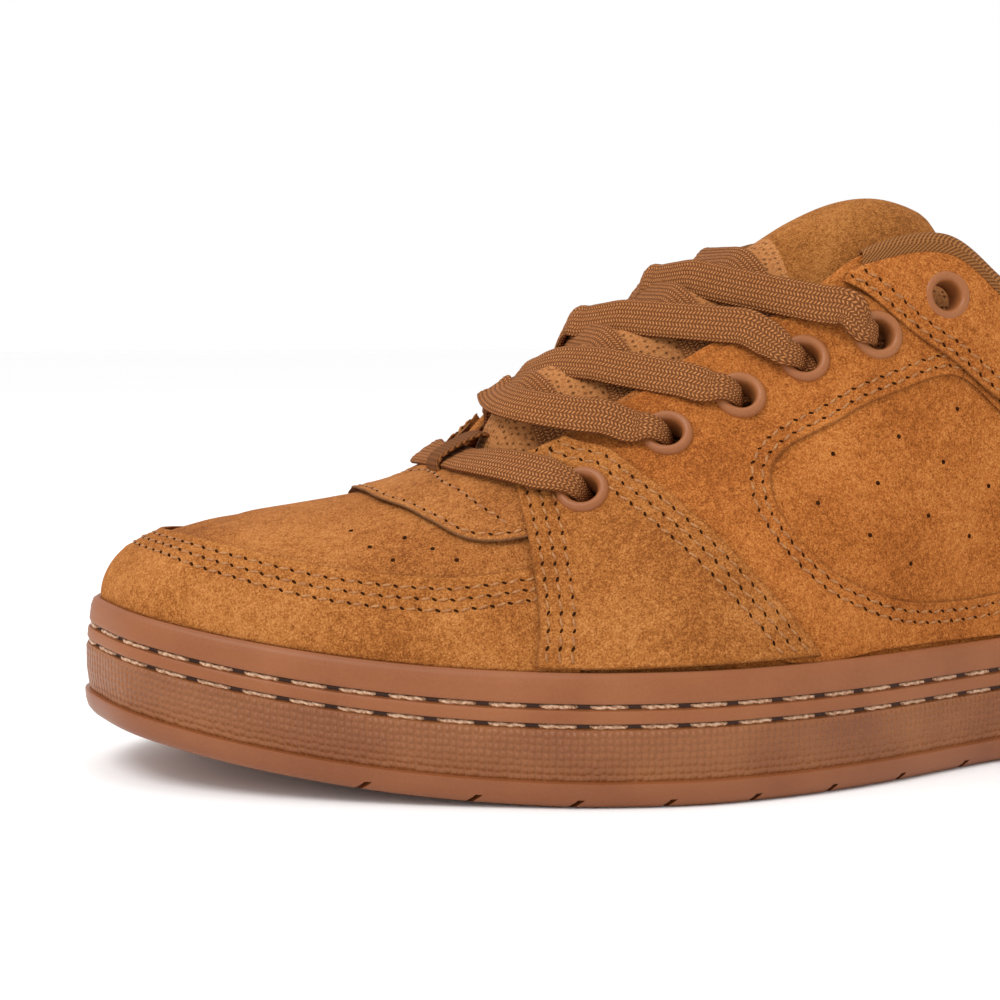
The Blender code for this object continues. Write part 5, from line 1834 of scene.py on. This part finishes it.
@dataclass
class Laces:
    """Flat braided laces: a bar at the throat's base and four crossings, run through the eyelets."""

    form: Form
    finishes: Finishes
    count: int = 61
    short: float = 10.5 * MM
    beyond: float = 6 * MM
    clear_ahead: float = 7.2 * MM
    clear_up: float = 1.9 * MM
    press: float = 1.2 * MM
    bow_under: float = 3.0 * MM
    slip_under: float = 0.30
    overs: tuple = (
        (2, 11.5, -0.50),
        (3, 5.0, -0.60),
        (4, 4.5, -0.60),
        (5, 6.0, -0.80),
    )
    bar_spots: tuple = (
        (13.40, 0.800, 4.3),
        (14.05, 0.885, 3.5),
        (15.10, 0.955, 2.8),
        (16.70, 0.990, 2.3),
        (19.20, 0.997, 2.1),
        (21.70, 0.990, 2.3),
        (23.50, 0.955, 2.8),
        (24.55, 0.885, 3.5),
        (25.10, 0.800, 4.3),
    )
    keeper_spots: tuple = (
        (0.0718, 0.0642),
        (0.0732, 0.0656),
        (0.0724, 0.0680),
        (0.0682, 0.0706),
        (0.0641, 0.0724),
        (0.0620, 0.0722),
        (0.0612, 0.0702),
    )

    def heights(self, spots: Array, trees: list[BVHTree]) -> Array:
        """The highest surface under each plan point."""
        found = []
        for x, y in spots:
            hits = [tree.ray_cast(Vector((x, y, 0.3)), Vector((0, 0, -1)))[0] for tree in trees]
            found.append(max((hit.z for hit in hits if hit is not None), default=-1.0))
        return np.array(found)

    @staticmethod
    def tight(walked: Array, heights: Array) -> Array:
        """The lowest line over all the heights that never sags."""
        kept: list[tuple[float, float]] = []
        for spot in zip(walked, heights):
            while len(kept) > 1:
                (a, b), (c, d) = kept[-2:]
                if (d - b) * (spot[0] - a) > (spot[1] - b) * (c - a):
                    break
                kept.pop()
            kept.append(spot)
        return np.interp(walked, *np.array(kept).T)

    def strand(
        self, near: tuple, far: tuple, trees: list[BVHTree], tongue: BVHTree, bow: float, slip: float
    ) -> tuple[Array, Array, Array]:
        """One strand from its eyelet over the tongue to below the far eyestay.

        Args:
            near: Place, rise and step of the eyelet that it enters from above.
            far: Place, rise and step of the eyelet that it comes up beside on the far side.
            trees: Everything that it may lie on.
            tongue: The tongue alone, for the strand's tilt.
            bow: How far its slack lets it slide toewards.
            slip: How far ahead of that eyelet it comes out, in sections.

        Returns:
            Middle line, sideways directions and widths.
        """
        form, s = self.form, self.form.s
        centre, _, outward = eyelet_frame(form, *near)
        far_edge = form.wall(np.array([far[0] + slip]), np.array([1.0]))[0]
        toward = far_edge + np.array([4.0 * bow, 0.0, 0.0]) - centre
        toward -= outward * np.dot(toward, outward)
        toward /= np.linalg.norm(toward)
        start = centre + toward * self.clear_ahead + outward * self.clear_up
        inward = start[:2] - far_edge[:2]
        inward /= np.linalg.norm(inward)
        end = far_edge[:2] + inward * self.short
        part = np.linspace(0, 1, self.count)
        aside = np.array([inward[1], -inward[0]])
        aside *= np.sign(aside[0])
        swing = 4.0 * bow * part * (1 - part)
        plan = np.linspace(start[:2], end, self.count) + swing[:, None] * aside
        ahead = unit(np.gradient(plan, axis=0))
        side = np.column_stack([-ahead[:, 1], ahead[:, 0]])
        half = s.lace_width / 2
        first = -float(np.dot(outward[:2], side[0])) / max(float(outward[2]), 0.35)
        one = self.heights(plan + side * 1.2 * half, [tongue])
        two = self.heights(plan - side * 1.2 * half, [tongue])
        lean = np.clip((one - two) / (2.4 * half), -0.7, 0.7) * ((one > 0) & (two > 0))
        lean = np.convolve(np.pad(lean, 6, mode="edge"), np.ones(13) / 13, mode="valid")
        share = np.clip((part - 0.04) / 0.40, 0, 1)
        tilt = first * (1 - share) + lean * share
        base = np.full(self.count, -1.0)
        for share in (-1.0, -0.6, -0.3, 0.0, 0.3, 0.6, 1.0):
            level = self.heights(plan + side * half * share, trees)
            base = np.maximum(base, level - tilt * half * share)
        walked = walk(plan)
        slope = np.gradient(base, walked)
        raised = base + (s.lace_thick / 2 + 0.05 * MM) * np.sqrt(1 + tilt**2 + np.minimum(slope**2, 9))
        raised -= self.press * np.clip(4 * (part - 0.18), 0, 1)
        raised[0] = max(start[2], raised[0])
        line = np.column_stack([plan, self.tight(walked, raised)])
        across = np.column_stack([side, tilt])
        tail = self.tail(line, far_edge, ahead[-1], tongue)
        steps = ((-6.0, -0.3), (-2.5, 0.3), (0.5, 1.1), (2.3, 2.6), (2.9, 4.6))
        dive = self.dive(centre, outward, toward, steps)
        turned = np.cross(outward, toward)
        turned *= np.sign(np.dot(turned, across[0]))
        full = smooth_line(np.vstack([*dive, line[::6], tail]), self.count + 40)
        tilts = [np.tile(turned, (len(dive), 1)), across[::6], np.tile(across[-1], (len(tail), 1))]
        sides = smooth_line(np.vstack(tilts), self.count + 40)
        return full, sides, self.gathered(np.linalg.norm(full - centre, axis=1))

    @staticmethod
    def dive(centre: Array, outward: Array, toward: Array, steps: tuple) -> list[Array]:
        """Points down into an eyelet, from steps in mm outwards and towards the strand."""
        return [centre + outward * up * MM + toward * ahead * MM for up, ahead in steps]

    def gathered(self, run: Array) -> Array:
        """The lace's width at distances from its eyelet, where it is bunched."""
        return np.interp(run, (0.0, 4.0 * MM, 9.0 * MM), (0.55, 0.66, 1.0)) * self.form.s.lace_width

    def tail(self, line: Array, far_edge: Array, way: Array, tongue: BVHTree) -> Array:
        """Where a strand slips below the far eyestay, along the tongue.

        Args:
            line: The strand's middle line so far.
            far_edge: The far stay's edge.
            way: Its direction on plan.
            tongue: The tongue's search tree.

        Returns:
            Three more points.
        """
        last = line[-1]
        points = []
        for ahead, room in ((0.45 * self.short, 0.8 * MM), (self.short, 3.6 * MM)):
            spot = last[:2] + way * ahead
            below = self.heights(spot[None], [tongue])[0] + self.form.s.lace_thick
            ceiling = last[2] + (min(far_edge[2], last[2]) - room - last[2]) * ahead / self.short
            points.append((*spot, min(max(below, ceiling - 2 * MM), ceiling)))
        fall = min((points[1][2] - points[0][2]) / (0.55 * self.short), -0.3)
        spot = last[:2] + way * (self.short + self.beyond)
        points.append((*spot, points[1][2] + fall * self.beyond))
        return np.array(points)

    def ribbon(self, name: str, line: Array, sides: Array, width: Array) -> bpy.types.Object:
        """A flat lace swept along its middle line."""
        thick = self.form.s.lace_thick
        ahead = unit(np.gradient(line, axis=0))
        sides = unit(sides - ahead * (sides * ahead).sum(1)[:, None])
        up = np.cross(ahead, sides)
        turn = np.linspace(0, 2 * math.pi, 41)
        flat = np.sign(np.cos(turn)) * np.abs(np.cos(turn)) ** 0.55
        tall = np.sign(np.sin(turn)) * np.abs(np.sin(turn)) ** 0.75
        ribs = 1 + 0.10 * np.cos(flat * math.pi * 8)
        full = self.form.s.lace_width
        puff = 1 + 0.9 * (1 - width / full)
        rings = (
            line[:, None, :]
            + sides[:, None, :] * (flat[None] * width[:, None] / 2)[..., None]
            + up[:, None, :] * (tall[None] * ribs[None] * thick / 2 * puff[:, None])[..., None]
        )
        steps = np.abs(np.diff(flat)) * full / 2 + np.abs(np.diff(tall)) * thick / 2
        girth = np.concatenate([[0], np.cumsum(steps)])
        marks = np.zeros((len(line), len(turn), 2))
        marks[..., 0] = girth[None] / UV_UNIT
        marks[..., 1] = walk(line)[:, None] / UV_UNIT
        lace = Bench.sheet(name, rings, weld=True, close=True, spots=marks)
        dress(lace, self.finishes.lace)
        Bench.smooth(lace, 60)
        return lace

    def build(self, below: list[bpy.types.Object], tongue: bpy.types.Object) -> None:
        """Lays the bar, the lower strands, the upper ones over them, and the keeper."""
        lateral, medial = EYELETS[Side.LATERAL], EYELETS[Side.MEDIAL]
        trees = [Bench.tree(piece) for piece in below]
        cloth = Bench.tree(tongue)
        self.bar()
        unders = []
        for number, _, _ in self.overs:
            ends = medial[number - 1], lateral[number - 2]
            line = self.strand(*ends, trees, cloth, self.bow_under, self.slip_under)
            unders.append(self.ribbon(f"lace_under_{number}", *line))
            record(unders[-1], "lace_cotton", f"lace_cross_{number}")
        trees += [Bench.tree(under) for under in unders]
        for number, bow, slip in self.overs:
            ends = lateral[number - 1], medial[number - 2]
            line = self.strand(*ends, trees, cloth, bow * MM, slip)
            over = self.ribbon(f"lace_over_{number}", *line)
            record(over, "lace_cotton", f"lace_cross_{number}")
        self.keeper()

    def bar(self) -> None:
        """The straight run over the throat's base, from one first eyelet to the other."""
        form = self.form
        rows = np.array(self.bar_spots)
        points = form.lifted(rows[:, 0], rows[:, 1], rows[:, 2] * MM)
        outs = form.normals(rows[:, 0], rows[:, 1])
        line, outward = list(points), list(outs)
        centres = []
        for side, first in ((Side.LATERAL, 0), (Side.MEDIAL, -1)):
            centre, _, out = eyelet_frame(form, *EYELETS[side][0])
            toward = points[first] - centre
            toward -= out * np.dot(toward, out)
            toward /= np.linalg.norm(toward)
            dive = self.dive(centre, out, toward, ((-6, -0.3), (-2.5, 0.3), (0.5, 1.1), (2.4, 2.8)))
            if first == 0:
                line, outward = dive + line, [out] * 4 + outward
            else:
                line, outward = line + dive[::-1], outward + [out] * 4
            centres.append(centre)
        full, outs = smooth_line(np.array(line), 96), smooth_line(np.array(outward), 96)
        across = unit(np.cross(outs, np.gradient(full, axis=0)))
        run = np.minimum(*(np.linalg.norm(full - centre, axis=1) for centre in centres))
        bar = self.ribbon("lace_bar_run", full, across, self.gathered(run))
        record(bar, "lace_cotton", "lace_bar")

    def keeper(self) -> None:
        """The webbing loop over the bar."""
        path = smooth_line(self.keeper_spots, 48)
        way = unit(np.gradient(path, axis=0))
        out = np.column_stack([way[:, 1], -way[:, 0]])
        turn = np.linspace(0, 2 * math.pi, 29)
        flat = np.sign(np.cos(turn)) * np.abs(np.cos(turn)) ** 0.4 * 5.0 * MM - 2.0 * MM
        tall = np.sign(np.sin(turn)) * np.abs(np.sin(turn)) ** 0.8 * 0.6 * MM
        rings = np.stack(
            [
                path[:, :1] + out[:, :1] * (tall + 0.6 * MM)[None],
                np.broadcast_to(flat, (len(path), len(flat))),
                path[:, 1:] + out[:, 1:] * (tall + 0.6 * MM)[None],
            ],
            axis=2,
        )
        marks = np.zeros((len(path), len(turn), 2))
        marks[..., 0] = (flat / UV_UNIT)[None]
        marks[..., 1] = np.linspace(0, 1.6, len(path))[:, None]
        keeper = Bench.sheet("keeper_loop", rings, weld=True, close=True, spots=marks)
        dress(keeper, self.finishes.webbing)
        Bench.smooth(keeper, 60)
        record(keeper, "webbing", "lace_keeper")


@dataclass
class CollarTape:
    """The ribbed tape folded over the collar's top edge."""

    form: Form
    finishes: Finishes
    start: float = -8.75
    end: float = 9.05
    down: float = 0.972
    proud: float = 0.55 * MM

    def build(self) -> bpy.types.Object:
        """Models the tape over the rim as a closed folded strip."""
        form = self.form
        places = np.linspace(self.start, self.end, 420)
        edge, last, out, half = form.opening(places)
        rows, marks = [], []
        girth = walk(edge) / UV_UNIT
        lifts = np.concatenate([[1.3 * MM], np.full(5, 1.95 * MM)])
        for rise, lift in zip(np.linspace(self.down, 1, 6), lifts):
            rows.append(form.lifted(places, np.full(420, rise), lift))
        reach = half + self.proud
        for turn in np.linspace(0.15, math.pi, 12):
            grow = 1.4 * MM * max(0.0, math.cos(turn))
            spoke = out * math.cos(turn) + last * math.sin(turn)
            rows.append(edge - last * half + (reach + grow) * spoke)
        for rise in np.linspace(1, self.down - 0.03, 6)[1:]:
            rises = np.full(420, rise)
            rows.append(form.lifted(places, rises, -form.thickness(places, rises) - self.proud))
        for k in range(len(rows)):
            marks.append(np.column_stack([girth, np.full(420, k * 0.09)]))
        solid = np.array(rows)
        tape = Bench.sheet("collar_tape", solid, flip=True, spots=np.array(marks))
        Bench.finish(tape, "SOLIDIFY", thickness=0.5 * MM, offset=-1.0)
        dress(tape, self.finishes.tape)
        Bench.smooth(tape, 60)
        record(tape, "suede")
        return tape


@dataclass
class Insole:
    """The footbed inside."""

    form: Form
    finishes: Finishes

    def build(self) -> bpy.types.Object:
        """Models the footbed with a rounded edge and a dished heel."""
        form, s = self.form, self.form.s
        places = form.even_places(220)
        inset = s.cup_wall + s.leather + 4.5 * s.gap
        rings = []
        start = form.outline(places, inset)
        middle = form.spine(start)
        for share in (0.9, 0.5, 0.0):
            flat = start * (1 - share) + middle * share
            rings.append(np.column_stack([flat, form.cup_floor(flat[:, 0]) + s.gap]))
        for share, up in ((0.0, 0.8), (0.02, 0.97), (0.05, 1.0), (0.3, 1.0), (0.6, 1.0), (0.9, 1.0)):
            flat = start * (1 - share) + middle * share
            dish = 0.004 * np.clip((-0.02 - flat[:, 0]) / 0.08, 0, 1) * max(0.0, 1 - 4 * share)
            level = form.cup_floor(flat[:, 0]) + s.gap + s.insole * up + dish
            rings.append(np.column_stack([flat, level]))
        bed = Bench.sheet("textile_footbed", np.array(rings), weld=True, close=True)
        dress(bed, self.finishes.footbed)
        Bench.smooth(bed, 50)
        record(bed, "footbed", "insole")
        return bed


@dataclass
class Perforations:
    """Small punched holes in the vamp and the window panels, each a flat dark disc of painted shade."""

    form: Form
    finishes: Finishes
    radius: float = 0.52 * MM

    def build(self, shell: bpy.types.Object) -> None:
        """Models one flat dark disc of painted shade for a punched hole and sets a copy at each place on the
        shell.
        """
        tree = Bench.tree(shell)
        groups = {"vamp_holes": VAMP_HOLES}
        for side in Side:
            groups[f"window_holes_{side.value}"] = PERFORATIONS[side]
        for name, spots in groups.items():
            rows = np.array(spots)
            points = self.form.lifted(rows[:, 0], rows[:, 1], 3 * MM)
            outward = self.form.normals(rows[:, 0], rows[:, 1])
            frames = []
            for point, out in zip(points, outward):
                hit = Stitching.drop([tree], point, out)
                if hit is not None:
                    frames.append(hit)
            middle, up = (np.array([found[k] for found in frames]) for k in (0, 1))
            ahead = unit(np.cross(up, (0.0, 1.0, 0.3)))
            Bench.clear()
            bpy.ops.mesh.primitive_uv_sphere_add(segments=14, ring_count=6, radius=1)
            pattern = bpy.context.object
            bpy.ops.object.mode_set(mode="EDIT")
            bpy.ops.mesh.select_all(action="SELECT")
            bpy.ops.transform.resize(value=(self.radius, self.radius, 0.10 * MM))
            bpy.ops.object.mode_set(mode="OBJECT")
            piece = Bench.join_copies(name, pattern, placings(middle, ahead, up), self.finishes.hole)
            record(piece, "suede")


@dataclass
class Studio:
    """The pale floor, the soft lights and the camera at the photograph's angle."""

    lens: float = 67.34
    shift: tuple[float, float] = (-0.0384, 0.0340)
    eye: tuple[float, float, float] = (0.1808, 0.4050, 0.0983)
    aim: tuple[float, float, float] = (0.0495, 0.0, 0.0500)

    def build(self) -> None:
        """Sets up the stage."""
        self.camera()
        self.floor()
        self.lights()

    def camera(self) -> None:
        """The photograph's view."""
        data = bpy.data.cameras.new("photo_camera")
        camera = bpy.data.objects.new("photo_camera", data)
        bpy.context.scene.collection.objects.link(camera)
        away = Vector(self.aim) - Vector(self.eye)
        camera.location = self.eye
        camera.rotation_euler = away.to_track_quat("-Z", "Y").to_euler()
        data.lens, data.sensor_width = self.lens, 36
        data.shift_x, data.shift_y = self.shift
        data.clip_start = 0.01
        bpy.context.scene.camera = camera

    def floor(self) -> None:
        """A pale floor that the shoe stands on."""
        Bench.clear()
        bpy.ops.mesh.primitive_grid_add(x_subdivisions=8, y_subdivisions=8, size=12, location=(0, 0, 0))
        floor = bpy.context.object
        floor.name = "pale_floor"
        finish, tree, shader = begin("pale_paper")
        spot = put(tree, "ShaderNodeTexCoord").outputs["Object"]
        mottle = put(tree, "ShaderNodeTexNoise", {"Scale": 3.0, "Detail": 2.0}, Vector=spot)
        colour = mixed(tree, mottle.outputs[0], linear("#fcfcfc"), linear("#fefefe"))
        tree.links.new(colour, shader.inputs["Base Color"])
        shader.inputs["Roughness"].default_value = 0.9
        dress(floor, finish)

    def lights(self) -> None:
        """A bright even surround with a broad key from above and in front."""
        world = bpy.data.worlds.new("studio")
        bpy.context.scene.world = world
        world.use_nodes = True
        back = world.node_tree.nodes["Background"]
        back.inputs[0].default_value = linear("#ffffff")
        back.inputs[1].default_value = 1.0
        for name, place, size, power in (
            ("key", (0.56, 0.28, 0.82), 0.42, 4.1),
            ("top", (-0.10, -0.15, 1.1), 0.8, 1.5),
        ):
            data = bpy.data.lights.new(name, "AREA")
            data.size, data.energy = size, power
            lamp = bpy.data.objects.new(name, data)
            bpy.context.scene.collection.objects.link(lamp)
            lamp.location = place
            away = Vector((0.03, 0.0, 0.05)) - Vector(place)
            lamp.rotation_euler = away.to_track_quat("-Z", "Y").to_euler()
        bpy.context.scene.view_settings.view_transform = "Standard"


def main() -> None:
    """Builds the shoe from the sole up, then the stage around it."""
    logging.basicConfig(level=logging.INFO, format="%(message)s")
    form = Form(ShoeSizes())
    finishes = Finishes()
    Studio().build()
    Cupsole(form, finishes).build()
    Insole(form, finishes).build()
    pieces = Upper(form, finishes).build()
    rings = Eyelets(form, finishes).build()
    tongue = Tongue(form, finishes).build()
    Perforations(form, finishes).build(pieces["shell"])
    CollarTape(form, finishes).build()
    Laces(form, finishes).build(list(pieces.values()) + rings + [tongue], tongue)


if __name__ == "__main__":
    main()
